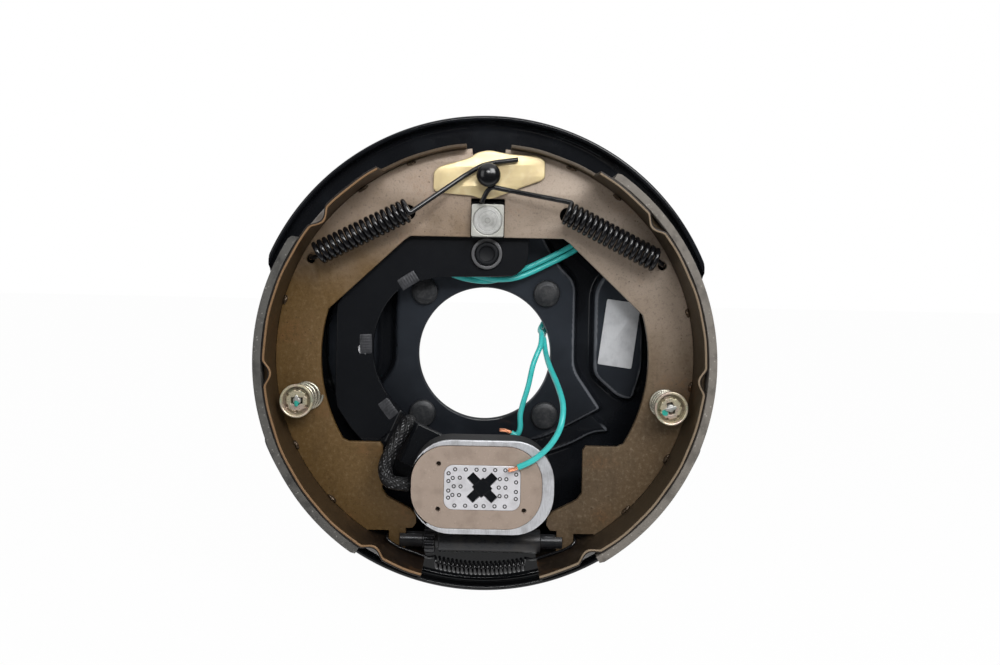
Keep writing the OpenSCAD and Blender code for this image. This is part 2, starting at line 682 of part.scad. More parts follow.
module magnet_clip() {
    color("#101010") at_magnet() {
        slab(clip_y0, clip_y1) cross_shape(0);
        slab(clip_y0 - 0.6, clip_y1) hub_shape(0);
    }
}
// Pin that carries the magnet on the arm
module magnet_pin() { color("#5b5d60") rod(0, magnet_z, magnet_pin_d - 2 * snug, clip_y1, foot_y1); }
// Follower spring behind the magnet
magnet_wire = 1.4;
module magnet_spring() {
    r0 = magnet_pin_d / 2 + 2.4;
    turns = 1.5;
    steps = 14;
    y0 = magnet_y1 + clear + magnet_wire / 2;
    y1 = foot_y0 - clear - magnet_wire / 2;
    color("#6f7174") wire([for (i = [0:turns * steps])
        let (w = 360 * i / steps, t = i / (turns * steps))
        [(r0 + 3 * t) * cos(w), y0 + (y1 - y0) * t, magnet_z + (r0 + 3 * t) * sin(w)]], magnet_wire, 6);
}

// Hold-downs: a flat-headed pin, a cup and a spring on each shoe
module at_hold(left) { translate([left ? -hold_x : hold_x, 0, hold_z]) children(); }
blade = [8.4, 1.4, 3];                       // flattened front end of a pin
module holddown_pins() {
    color("#8f8a78") for (left = [true, false]) at_hold(left) {
        rod(0, 0, hold_pin_d, cup_y - cup_floor - 1.6, back_y + 2);
        rod(0, 0, 11, back_y + clear / 3, back_y + 2);
        rotate([0, left ? -90 : -14, 0])
            translate([-blade[0] / 2, cup_y - cup_floor - 1.6, -blade[2] / 2]) cube(blade);
    }
}
module holddown_cup(left) {
    r = cup_d / 2;
    front = cup_y - cup_rim;
    color("#cdb96c") at_hold(left) turned() polygon([
        [hold_pin_d / 2 + run, cup_y], [hold_pin_d / 2 + run, cup_y - cup_floor],
        [r - 3, cup_y - cup_floor], [r - 1.4, front + 0.5], [r - 0.9, front], [r - 0.2, front],
        [r, front + 0.5], [r, cup_y - 2.2], [r - 2.2, cup_y]]);
}
module holddown_spring(left) {
    end = hold_wire / 2 + 0.2;
    color("#9a9488") at_hold(left)
        wire(helix([0, cup_y + end, 0], [0, web_y0 - end, 0], hold_spring_d / 2, 4, 14), hold_wire, 6);
}
module holddown_cup_left() { holddown_cup(true); }
module holddown_cup_right() { holddown_cup(false); }
module holddown_spring_left() { holddown_spring(true); }
module holddown_spring_right() { holddown_spring(false); }

// Routes of the leads
magnet_end = -magnet_l / 2;                 // where the sleeve goes into the magnet
sleeve_way = [[-38.5, -22, -28.5], [-40.2, -28.4, -31.2], [magnet_end - 4.2, -33.6, -36.6],
    [magnet_end - 9, -36, -46], [magnet_end - 13, -39, -54], [magnet_end - 15.3, -41, -62],
    [magnet_end - 12.5, -42.6, -68], [magnet_end - 6, -43, -69.5], [magnet_end - 0.1, -43, -69.5]];
pair_way = [[-38.4, -21.7, -28.3], [-37.6, -19, -27], [-38, -15.6, -26.8], [-40.4, -13.4, -29.4],
    [-45, -13.2, -36], [-51.5, -13.2, -42], [-59, -13.9, -42], [-66, -13.9, -35], [-72, -13.9, -26],
    [-77.4, -13.9, -12], [-78.8, -13.9, 6], [-75.6, -13.9, 22], [-67.5, -13.9, 36], [-58.5, -13.9, 45],
    [-49.5, -13.9, 50.5], [-42, -13.9, 55], [-34, -13.6, 55], [-26, -12.8, 51], [-13, -12, 46.5],
    [0, -11.5, 44.2], [10, -11, 45], [20, -9.6, 48], [36, -7.6, 55.6], [48, -6, 62], [56.5, -4.6, 67.4],
    [60.5, -2.6, 69.4], [62, -0.6, 70], [62, 1, 70], [62, 2.6, 70]];
short_way = [[60.5, 9, 71], [60.5, 13, 71], [58, 16, 66], [53.5, 17, 56], [48.6, 16, 44], [43, 12.5, 30],
    [34, 5, 15.5],
    [34, -2, 12], [33.2, -7.5, 5.8], [30.5, -11, -0.4], [28.3, -13, -6.7], [26, -14.4, -17.6], [22.8, -15.4, -28.7],
    [21.5, -16.4, -35], [21.6, -17.4, -42], [19.7, -17.4, -46], [16.4, -17.4, -44.8]];
long_way = [[64, 9, 68], [64, 13.5, 68], [62.5, 17.5, 62], [56.5, 20.8, 51], [49.5, 20, 39], [43, 16, 26],
    [36, 6, 12], [35.6, -1, 8.5], [36.2, -8, 1.8], [37.5, -23, -4.6], [41.2, -38, -13.8], [43.3, -50, -22.6],
    [42.2, -56.6, -31],
    [39.6, -57.6, -38], [34.5, -57.6, -45.3], [27, -57.6, -51.7], [19, -57.6, -55.7]];
short_end = [[16.4, -17.4, -44.8], [13.1, -17.4, -43.6], [9.6, -17.4, -43.4]];
long_end = [[19, -57.6, -55.7], [17, -57.6, -56.7], [13.8, -57.6, -57.4]];
strand_d = 2.2;
pair_turn = -55;                            // which way the two inner leads lie beside each other
pair_twist = [18, 22];                      // points between which they change sides
module lead_sleeve() { color("#121212") wire(smooth(sleeve_way, 2), sleeve_d, 8); }
module inner_leads() {
    color("#2fa99a") for (turn = [pair_turn, pair_turn + 180])
        wire(beside(pair_way, lead_pitch / 2, turn, pair_twist[0], pair_twist[1]), lead_d, 8);
}
module free_lead_short() { color("#2fa99a") wire(short_way, lead_d, 8); }
module free_lead_long() { color("#2fa99a") wire(long_way, lead_d, 8); }
module lead_end_short() { color("#b8683f") wire(short_end, strand_d, 8); }
module lead_end_long() { color("#b8683f") wire(long_end, strand_d, 8); }

backing_plate();
mounting_studs();
slot_plugs();
blank_plate();
wire_grommet();
anchor_post();
anchor_guide_plate();
pivot_post();
pivot_ring();
holddown_pins();
primary_web();
primary_table();
primary_lining();
secondary_web();
secondary_table();
secondary_lining();
primary_return_spring();
secondary_return_spring();
adjuster_spring();
adjuster_socket();
thrust_washer();
adjuster_star_screw();
adjuster_nut();
actuating_arm();
arm_bushing();
block_pin();
magnet_pin();
actuator_block();
magnet_housing();
magnet_coil();
magnet_face();
magnet_core_plate();
magnet_clip();
magnet_spring();
lead_sleeve();
inner_leads();
holddown_cup_left();
holddown_cup_right();
holddown_spring_left();
holddown_spring_right();
free_lead_short();
free_lead_long();
lead_end_short();
lead_end_long();
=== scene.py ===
"""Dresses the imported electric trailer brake: its pressings, shoes, springs, magnet and leads, their finishes,
and the studio they are shown in. Shapes are written in millimetres and put into Blender in metres.
"""
from __future__ import annotations

import json
import logging
import math
from dataclasses import dataclass, field
from enum import Enum
from typing import Sequence

import bmesh
import bpy
import numpy as np
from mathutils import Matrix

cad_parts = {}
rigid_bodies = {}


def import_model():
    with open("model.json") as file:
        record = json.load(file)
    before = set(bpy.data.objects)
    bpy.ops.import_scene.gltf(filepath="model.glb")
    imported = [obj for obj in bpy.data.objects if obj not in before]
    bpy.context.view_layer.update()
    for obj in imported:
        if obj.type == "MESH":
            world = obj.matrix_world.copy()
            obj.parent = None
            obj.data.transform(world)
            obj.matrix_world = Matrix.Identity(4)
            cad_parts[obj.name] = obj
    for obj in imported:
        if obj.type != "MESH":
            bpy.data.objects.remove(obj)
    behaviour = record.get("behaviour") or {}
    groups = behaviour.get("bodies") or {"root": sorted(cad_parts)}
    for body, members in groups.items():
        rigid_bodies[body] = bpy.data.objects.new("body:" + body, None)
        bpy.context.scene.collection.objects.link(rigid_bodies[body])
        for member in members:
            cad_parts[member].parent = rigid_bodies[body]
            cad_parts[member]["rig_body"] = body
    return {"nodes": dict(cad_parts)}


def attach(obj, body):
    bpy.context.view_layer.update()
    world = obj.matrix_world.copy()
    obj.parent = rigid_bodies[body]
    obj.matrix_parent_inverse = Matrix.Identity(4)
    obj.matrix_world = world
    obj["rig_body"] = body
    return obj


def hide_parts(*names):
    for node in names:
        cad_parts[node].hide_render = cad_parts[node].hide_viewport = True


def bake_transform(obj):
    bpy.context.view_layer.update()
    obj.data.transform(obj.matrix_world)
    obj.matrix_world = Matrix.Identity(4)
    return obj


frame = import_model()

logging.basicConfig(level=logging.INFO, format="%(name)s: %(message)s")
log = logging.getLogger("brake")

MM = 0.001               # metres in a millimetre
TURN = 2 * math.pi
SHARP = 30.0             # degrees above which an edge of a softened or pressed piece stays sharp
ROUNDED = 35.0           # degrees above which an edge is rounded
Triple = tuple[float, float, float]


class Side(Enum):
    """Which half of the brake a mirrored piece stands on."""

    LEFT = -1
    RIGHT = 1


# Curves and outlines


def unit(rows: np.ndarray) -> np.ndarray:
    """Each row divided by its length."""
    return rows / np.maximum(np.linalg.norm(rows, axis=-1, keepdims=True), 1e-12)


def circle(steps: int) -> np.ndarray:
    """The angles of so many equal steps round a circle, in radians."""
    return TURN * np.arange(steps) / steps


def about_y(r: np.ndarray | float, y: np.ndarray | float, a: np.ndarray) -> np.ndarray:
    """Points at a radius and an angle about the Y axis, and a place along it."""
    return np.stack(np.broadcast_arrays(r * np.cos(a), y, r * np.sin(a)), -1)


def rotated(x: np.ndarray | float, z: np.ndarray | float, angle: float) -> tuple:
    """Two coordinates turned by an angle in radians."""
    return x * math.cos(angle) - z * math.sin(angle), x * math.sin(angle) + z * math.cos(angle)


def smooth_step(t: np.ndarray) -> np.ndarray:
    """Three t squared less two t cubed, with t held between 0 and 1."""
    t = np.clip(t, 0.0, 1.0)
    return t * t * (3 - 2 * t)


def smooth_route(points: Sequence[Sequence[float]], steps: int) -> np.ndarray:
    """A Catmull-Rom curve: each span is the cubic that leaves and meets its ends along their neighbours' chord.

    Args:
        points: the places that the route passes through.
        steps: how many pieces each span is cut into.

    Returns:
        The curve's points, one row each.
    """
    p = np.asarray(points, float)
    padded = np.vstack([p[:1], p, p[-1:]])
    a, b, c, d = (padded[i:len(p) - 1 + i, None, :] for i in range(4))
    t = (np.arange(steps) / steps)[None, :, None]
    spans = (2 * b + (c - a) * t + (2 * a - 5 * b + 4 * c - d) * t**2 + (3 * b - a - 3 * c + d) * t**3) / 2
    return np.vstack([spans.reshape(-1, p.shape[1]), p[-1:]])


def eased(points: np.ndarray, radius: float, steps: int = 6, closed: bool = False) -> np.ndarray:
    """Corners rounded: each becomes the parabola that leaves its two sides at the same distance from it.

    Args:
        points: the corners, one row each.
        radius: how far from the corner the curve begins, where the sides are long enough.
        steps: pieces in each curve.
        closed: whether the last corner joins the first.

    Returns:
        The rounded line.
    """
    p = np.asarray(points, float)
    before, after = np.roll(p, 1, 0) - p, np.roll(p, -1, 0) - p
    shorter = np.minimum(np.linalg.norm(before, axis=1), np.linalg.norm(after, axis=1))
    cut = np.minimum(radius, 0.47 * shorter)[:, None]
    start, end = p + unit(before) * cut, p + unit(after) * cut
    t = np.linspace(0, 1, steps + 1)[None, :, None]
    arcs = (1 - t) ** 2 * start[:, None] + 2 * t * (1 - t) * p[:, None] + t**2 * end[:, None]
    if closed:
        return arcs.reshape(-1, p.shape[1])
    return np.vstack([p[:1], arcs[1:-1].reshape(-1, p.shape[1]), p[-1:]])


def arc(centre: tuple[float, float], radius: float, start: float, end: float, steps: int) -> np.ndarray:
    """Points on a circle from one angle to another, in degrees."""
    a = np.radians(np.linspace(start, end, steps + 1))
    return np.stack([centre[0] + radius * np.cos(a), centre[1] + radius * np.sin(a)], 1)


def carried_frames(path: np.ndarray) -> tuple[np.ndarray, np.ndarray]:
    """Two directions across a path at each point, carried along it without twist.

    Args:
        path: the points of the path.

    Returns:
        The two directions, a row to each point.
    """
    ahead = unit(np.gradient(path, axis=0))
    first = np.zeros_like(path)
    last = np.array([0.31, 0.17, 1.0])
    for i, way in enumerate(ahead):
        last = last - way * (last @ way)
        last /= np.linalg.norm(last)
        first[i] = last
    return first, np.cross(ahead, first)


def outline_distance(places: np.ndarray, outline: np.ndarray) -> np.ndarray:
    """Signed distance to a closed outline: the least distance to any of its sides, negative inside, where a ray
    along the first axis crosses the sides an odd number of times.

    Args:
        places: points, one row each.
        outline: corners of the outline, one row each.

    Returns:
        One distance for each point.
    """
    nearest = np.full(len(places), np.inf)
    inside = np.zeros(len(places), bool)
    for a, b in zip(outline, np.roll(outline, -1, 0)):
        side = b - a
        t = np.clip((places - a) @ side / max(side @ side, 1e-12), 0, 1)
        nearest = np.minimum(nearest, np.hypot(*(places - a - t[:, None] * side).T))
        spans = (a[1] > places[:, 1]) != (b[1] > places[:, 1])
        if spans.any():
            inside ^= spans & (places[:, 0] < a[0] + (places[:, 1] - a[1]) * side[0] / (side[1] or 1e-12))
    return np.where(inside, -nearest, nearest)


# Meshes


@dataclass
class Surface:
    """Points and faces that are gathered before they become one mesh."""

    points: list[np.ndarray] = field(default_factory=list)
    faces: list[list[int]] = field(default_factory=list)
    corners_uv: list[tuple[float, float]] = field(default_factory=list)
    count: int = 0

    def grid(self, rows: np.ndarray, around: bool = True, along: bool = False, ends: bool = True,
             uv_scale: tuple[float, float] = (1.0, 1.0)) -> "Surface":
        """Adds a surface of two parameters.

        Args:
            rows: points in millimetres, of shape (n, m, 3).
            around: whether the last point of a row joins the first.
            along: whether the last row joins the first.
            ends: whether the first and last row are closed with a face, where they are not joined.
            uv_scale: how many units of the UV map the rows and the points of a row cover.

        Returns:
            This surface.
        """
        n, m = rows.shape[:2]
        i, j = np.meshgrid(np.arange(n if along else n - 1), np.arange(m if around else m - 1), indexing="ij")
        i, j = i.ravel(), j.ravel()
        corner = lambda a, b: self.count + (a % n) * m + b % m
        quads = np.stack([corner(i, j), corner(i + 1, j), corner(i + 1, j + 1), corner(i, j + 1)], 1)
        u, v = uv_scale[1] / m, uv_scale[0] / n
        uv = np.stack([np.stack([j * u, i * v], 1), np.stack([j * u, (i + 1) * v], 1),
                       np.stack([(j + 1) * u, (i + 1) * v], 1), np.stack([(j + 1) * u, i * v], 1)], 1)
        self.faces += quads.tolist()
        self.corners_uv += uv.reshape(-1, 2).tolist()
        if ends and around and not along:
            for row in (list(range(m - 1, -1, -1)), [(n - 1) * m + k for k in range(m)]):
                self.faces.append([self.count + k for k in row])
                self.corners_uv += [(0.0, 0.0)] * m
        self.points.append(rows.reshape(-1, 3))
        self.count += n * m
        return self

    def tube(self, path: np.ndarray, radius: np.ndarray | float, sides: int = 16) -> "Surface":
        """Adds a round bar along a path: each point is the path's, plus the radius times the cosine and sine of
        its angle on the two carried directions.

        Args:
            path: points in millimetres.
            radius: one number, one for each point, or one for each point and side.
            sides: points round the bar.

        Returns:
            This surface.
        """
        first, second = carried_frames(path)
        a = circle(sides)
        size = np.broadcast_to(np.asarray(radius, float).reshape(-1, 1) if np.ndim(radius) < 2 else radius,
                               (len(path), sides))
        ring = np.cos(a)[None, :, None] * first[:, None] + np.sin(a)[None, :, None] * second[:, None]
        length = np.linalg.norm(np.diff(path, axis=0), axis=1).sum()
        around_units = TURN * float(size.mean())
        return self.grid(path[:, None] + size[:, :, None] * ring, uv_scale=(length / around_units, 1.0))

    def lathe(self, profile: np.ndarray, centre: Triple = (0, 0, 0), steps: int = 64,
              closed: bool = False) -> "Surface":
        """Adds a profile of radius and place along Y, turned about an axis that runs along Y.

        Args:
            profile: rows of radius and place.
            centre: a point of the axis.
            steps: points in a turn.
            closed: whether the profile's last point joins its first, as round a bore.

        Returns:
            This surface.
        """
        rows = about_y(profile[:, :1], profile[:, 1:], circle(steps))
        return self.grid(rows + np.asarray(centre, float), along=closed, ends=not closed)

    def ball(self, centre: np.ndarray, size: np.ndarray, axes: np.ndarray, seed: int, steps: int = 12) -> "Surface":
        """Adds a lump: a ball stretched along three axes, its radius moved by a few waves so that no two match.

        Args:
            centre: its middle in millimetres.
            size: its three half lengths.
            axes: three rows, the directions of those lengths.
            seed: picks the waves.
            steps: points in half a turn.

        Returns:
            This surface.
        """
        wave = np.random.default_rng(seed).uniform(0, TURN, 3)
        up = np.linspace(0, math.pi, steps)[:, None]
        a = circle(2 * steps)
        swell = 1 + 0.12 * np.sin(2 * a + wave[0]) * np.sin(up) + 0.08 * np.sin(3 * a + 2 * up + wave[1])
        local = np.stack([np.sin(up) * np.cos(a), np.sin(up) * np.sin(a), np.cos(up) * np.ones_like(a)], 2)
        return self.grid(np.asarray(centre) + (local * swell[..., None] * size) @ np.asarray(axes), ends=False)

    def make(self, name: str, crease: float = 38.0) -> bpy.types.Object:
        """Turns what was added into an object at the origin, its doubles merged and its faces turned outwards.

        Args:
            name: the object's name.
            crease: the angle in degrees above which an edge stays sharp.

        Returns:
            The new object.
        """
        mesh = bpy.data.meshes.new(name)
        mesh.from_pydata((np.vstack(self.points) * MM).tolist(), [], self.faces)
        layer = mesh.uv_layers.new(name="UVMap")
        layer.data.foreach_set("uv", np.asarray(self.corners_uv, np.float32).ravel())
        return finished_mesh(name, mesh, crease)


def finished_mesh(name: str, mesh: bpy.types.Mesh, crease: float) -> bpy.types.Object:
    """Merges a mesh's doubles, turns its faces outwards, shades it and links its object at the origin.

    Args:
        name: the object's name.
        mesh: the mesh.
        crease: the angle in degrees above which an edge stays sharp.

    Returns:
        The object.
    """
    work = bmesh.new()
    work.from_mesh(mesh)
    bmesh.ops.remove_doubles(work, verts=work.verts, dist=2e-7)
    bmesh.ops.recalc_face_normals(work, faces=work.faces)
    work.to_mesh(mesh)
    work.free()
    mesh.shade_smooth()
    mesh.set_sharp_from_angle(angle=math.radians(crease))
    made = bpy.data.objects.new(name, mesh)
    bpy.context.scene.collection.objects.link(made)
    return made


def coordinates(mesh: bpy.types.Mesh) -> np.ndarray:
    """Reads a mesh's points.

    Args:
        mesh: the mesh.

    Returns:
        Their places, one row each.
    """
    places = np.zeros(len(mesh.vertices) * 3)
    mesh.vertices.foreach_get("co", places)
    return places.reshape(-1, 3)


def node_triangles(node: str) -> tuple[np.ndarray, np.ndarray]:
    """Reads a CAD node's mesh.

    Args:
        node: the CAD node.

    Returns:
        Its points in metres, merged, and its triangles.
    """
    mesh = frame["nodes"][node].data
    mesh.calc_loop_triangles()
    corners = np.zeros(len(mesh.loop_triangles) * 3, np.int32)
    mesh.loop_triangles.foreach_get("vertices", corners)
    rounded, back = np.unique(np.round(coordinates(mesh) * 1e6).astype(np.int64), axis=0, return_inverse=True)
    triangles = back.reshape(-1)[corners].reshape(-1, 3)
    a, b, c = triangles.T
    return rounded / 1e6, triangles[(a != b) & (b != c) & (a != c)]


def softened(name: str, node: str, edge: float, segments: int = 2, spared: Sequence[tuple[float, float]] = (),
             spared_r: float = 7.0) -> bpy.types.Object:
    """A copy of a CAD node, its flat triangles joined and its edges rounded by a Bevel modifier.

    Args:
        name: the new object's name.
        node: the CAD node that is copied.
        edge: width of the rounding in millimetres.
        segments: faces across the rounding.
        spared: places in X and Z, in millimetres, near which no edge is rounded.
        spared_r: how near that is.

    Returns:
        The new object.
    """
    places, triangles = node_triangles(node)
    mesh = bpy.data.meshes.new(name)
    mesh.from_pydata(places.tolist(), [], triangles.tolist())
    work = bmesh.new()
    work.from_mesh(mesh)
    bmesh.ops.dissolve_limit(work, angle_limit=math.radians(0.4), verts=work.verts, edges=work.edges)
    if spared:
        weight = work.edges.layers.float.new("bevel_weight_edge")
        for line in work.edges:
            ends = np.array([end.co for end in line.verts])[:, None, [0, 2]] / MM
            clear = np.hypot(*(ends - np.asarray(spared)).reshape(-1, 2).T).min() > spared_r
            line[weight] = float(clear and line.calc_face_angle(0.0) > math.radians(ROUNDED))
    work.to_mesh(mesh)
    work.free()
    made = finished_mesh(name, mesh, SHARP)
    bevel = made.modifiers.new("rounded edges", "BEVEL")
    bevel.width, bevel.segments, bevel.angle_limit = edge * MM, segments, math.radians(ROUNDED)
    bevel.limit_method = "WEIGHT" if spared else "ANGLE"
    bevel.use_clamp_overlap, bevel.harden_normals = False, True
    return made


def face_loops(node: str, place: float) -> list[np.ndarray]:
    """The outlines of a CAD node's flat face at one place along Y: the edges that only one of the face's
    triangles has, followed from end to end.

    Args:
        node: the CAD node.
        place: the face's place along Y, in millimetres.

    Returns:
        Closed outlines in X and Z, in millimetres.
    """
    places, triangles = node_triangles(node)
    flat = triangles[(np.abs(places[triangles][:, :, 1] - place * MM) < 4e-6).all(1)]
    edges = np.vstack([flat[:, [0, 1]], flat[:, [1, 2]], flat[:, [2, 0]]])
    have = {tuple(e) for e in edges.tolist()}
    following = {a: b for a, b in have if (b, a) not in have}
    loops = []
    while following:
        first, point = following.popitem()
        loop = [first]
        while point != first:
            loop.append(point)
            point = following.pop(point)
        loops.append(places[loop][:, [0, 2]] / MM)
    return loops


def pressed_sheet(name: str, loops: list[np.ndarray], y0: float, y1: float, edge: float) -> bpy.types.Object:
    """A flat sheet with rounded edges: a filled curve, drawn in by the rounding and made thick by it again.

    Args:
        name: the object's name.
        loops: outlines in X and Z, in millimetres, the holes among them.
        y0: place of its drum-side face.
        y1: place of its axle-side face.
        edge: radius of its edges.

    Returns:
        The sheet as a mesh object.
    """
    curve = bpy.data.curves.new(name, "CURVE")
    curve.dimensions, curve.fill_mode = "2D", "BOTH"
    curve.extrude, curve.bevel_depth = ((y1 - y0) / 2 - edge) * MM, edge * MM
    curve.offset, curve.bevel_resolution = -edge * MM, 2
    for loop in loops:
        spline = curve.splines.new("POLY")
        spline.points.add(len(loop) - 1)
        rows = np.zeros((len(loop), 4), np.float32)
        rows[:, :2], rows[:, 3] = loop * MM, 1
        spline.points.foreach_set("co", rows.ravel())
        spline.use_cyclic_u = True
    drawn = bpy.data.objects.new(name, curve)
    bpy.context.scene.collection.objects.link(drawn)
    bpy.context.view_layer.update()
    mesh = bpy.data.meshes.new_from_object(drawn.evaluated_get(bpy.context.evaluated_depsgraph_get()))
    bpy.data.objects.remove(drawn)
    bpy.data.curves.remove(curve)
    x, z, rise = coordinates(mesh).T
    mesh.vertices.foreach_set("co", np.stack([x, (y0 + y1) / 2 * MM - rise, z], 1).ravel())
    mesh.name = name
    return finished_mesh(name, mesh, SHARP)


# Shader expressions


class Value:
    """A socket of a material, on which arithmetic adds Math nodes."""

    def __init__(self, shader: "Shader", socket: bpy.types.NodeSocket) -> None:
        """Keeps the material's shader and one of its output sockets."""
        self.shader, self.socket = shader, socket

    def __add__(self, other: "Value | float") -> "Value":
        """The sum."""
        return self.shader.math("ADD", self, other)

    def __sub__(self, other: "Value | float") -> "Value":
        """The difference."""
        return self.shader.math("SUBTRACT", self, other)

    def __rsub__(self, other: float) -> "Value":
        """The difference, with the number first."""
        return self.shader.math("SUBTRACT", other, self)

    def __mul__(self, other: "Value | float") -> "Value":
        """The product."""
        return self.shader.math("MULTIPLY", self, other)

    __radd__ = __add__
    __rmul__ = __mul__

    def between(self, low: float, high: float) -> "Value":
        """Rises smoothly from 0 at low to 1 at high, or falls where low is the larger."""
        sockets = {"Value": self, "From Min": low, "From Max": high}
        return self.shader.node("ShaderNodeMapRange", {"interpolation_type": "SMOOTHSTEP"}, sockets)

    def larger(self, other: "Value | float") -> "Value":
        """The larger of the two."""
        return self.shader.math("MAXIMUM", self, other)

    def smaller(self, other: "Value | float") -> "Value":
        """The smaller of the two."""
        return self.shader.math("MINIMUM", self, other)


class Shader:
    """One material's node tree, written as expressions."""

    def __init__(self, name: str, world: bool = False) -> None:
        """Makes an empty material, or an empty world.

        Args:
            name: its name.
            world: whether it is a world.
        """
        self.material = (bpy.data.worlds if world else bpy.data.materials).new(name)
        self.material.use_nodes = True
        self.tree = self.material.node_tree
        self.tree.nodes.clear()

    def node(self, kind: str, settings: dict | None = None, sockets: dict | None = None,
             output: int | str = 0) -> Value:
        """Adds a node.

        Args:
            kind: the node's type.
            settings: its own settings, set before its sockets.
            sockets: values or links for its inputs, by name or number.
            output: which of its outputs is handed back.

        Returns:
            The output as a value.
        """
        made = self.tree.nodes.new(kind)
        for key, value in (settings or {}).items():
            setattr(made, key, value)
        for key, value in (sockets or {}).items():
            if isinstance(value, Value):
                self.tree.links.new(value.socket, made.inputs[key])
            else:
                made.inputs[key].default_value = value
        return Value(self, made.outputs[output] if len(made.outputs) else None)

    def math(self, operation: str, *values: Value | float) -> Value:
        """Adds a Math node for one operation."""
        return self.node("ShaderNodeMath", {"operation": operation}, dict(enumerate(values)))

    def place(self, stretch: Triple = (1, 1, 1)) -> Value:
        """The piece's own coordinates, in metres, each times a factor."""
        own = self.node("ShaderNodeTexCoord", output="Object")
        return self.node("ShaderNodeMapping", sockets={"Vector": own, "Scale": stretch})

    def axis(self, letter: str) -> Value:
        """One of the piece's own coordinates, in metres."""
        own = self.node("ShaderNodeTexCoord", output="Object")
        return self.node("ShaderNodeSeparateXYZ", sockets={"Vector": own}, output=letter)

    def ramp(self, letter: str, low: float, high: float) -> Value:
        """Rises smoothly from 0 to 1 between two places along an axis, which are given in millimetres."""
        return self.axis(letter).between(low * MM, high * MM)

    def uv(self, letter: str) -> Value:
        """One of the coordinates of the piece's own UV map."""
        own = self.node("ShaderNodeUVMap", {"uv_map": "UVMap"})
        return self.node("ShaderNodeSeparateXYZ", sockets={"Vector": own}, output=letter)

    def away(self, centre: Triple) -> Value:
        """Distance in metres from a point that is given in millimetres."""
        at = {0: self.node("ShaderNodeTexCoord", output="Object"), 1: tuple(c * MM for c in centre)}
        return self.node("ShaderNodeVectorMath", {"operation": "DISTANCE"}, at, output="Value")

    def noise(self, size: float, detail: float = 3.0, stretch: Triple = (1, 1, 1),
              rough: float = 0.55, at: Value | None = None) -> Value:
        """Noise whose patches are about size millimetres across."""
        sockets = {"Vector": at or self.place(stretch), "Scale": 1 / (size * MM), "Detail": detail, "Roughness": rough}
        return self.node("ShaderNodeTexNoise", sockets=sockets)

    def ring_noise(self, centre: Triple, size: float) -> Value:
        """Noise that changes only with the distance from a point, as turning marks do."""
        return self.noise(size, 3, at=self.node("ShaderNodeCombineXYZ", sockets={0: self.away(centre)}))

    def cells(self, size: float) -> Value:
        """Distance to the nearest of points scattered about size millimetres apart."""
        return self.node("ShaderNodeTexVoronoi", sockets={"Vector": self.place(), "Scale": 1 / (size * MM)})

    def ray(self, kind: str) -> Value:
        """One for rays of this kind, 0 for the others."""
        return self.node("ShaderNodeLightPath", output=f"Is {kind} Ray")

    def near(self, centre: Triple, reach: float, blur: float, ragged: float = 1.6) -> Value:
        """A round patch, in millimetres.

        Args:
            centre: its middle.
            reach: how far from the middle it ends.
            blur: how far it takes to fade out there.
            ragged: how far that end wanders in and out.

        Returns:
            One inside, 0 outside.
        """
        wander = (self.noise(1.6, 2) - 0.5) * (ragged * MM)
        return (self.away(centre) + wander).between((reach + blur) * MM, reach * MM)

    def blend(self, share: Value | float, first: tuple | Value, second: tuple | Value) -> Value:
        """A colour between two, the second where share is 1."""
        first, second = ((c if isinstance(c, Value) else (*c, 1.0)) for c in (first, second))
        return self.node("ShaderNodeMix", {"data_type": "RGBA"}, {0: share, 6: first, 7: second}, output=2)

    def close(self, colour: Value, rough: Value | float, height: Value, depth: float, metal: Value | float = 0.0,
              shine: float = 0.5) -> bpy.types.Material:
        """Ends the tree in one surface shader.

        Args:
            colour: the base colour.
            rough: the roughness.
            height: the relief.
            depth: how many millimetres the relief is deep.
            metal: how far the surface is metal.
            shine: how much it reflects where it isn't metal, the same all over.

        Returns:
            The material.
        """
        relief = self.node("ShaderNodeBump", sockets={"Height": height, "Distance": depth * MM})
        surface = self.node("ShaderNodeBsdfPrincipled", sockets={
            "Base Color": colour, "Roughness": rough, "Metallic": metal, "Specular IOR Level": shine,
            "Normal": relief})
        self.node("ShaderNodeOutputMaterial", sockets={"Surface": surface})
        return self.material


# Finishes

Colour = Triple          # red, green and blue


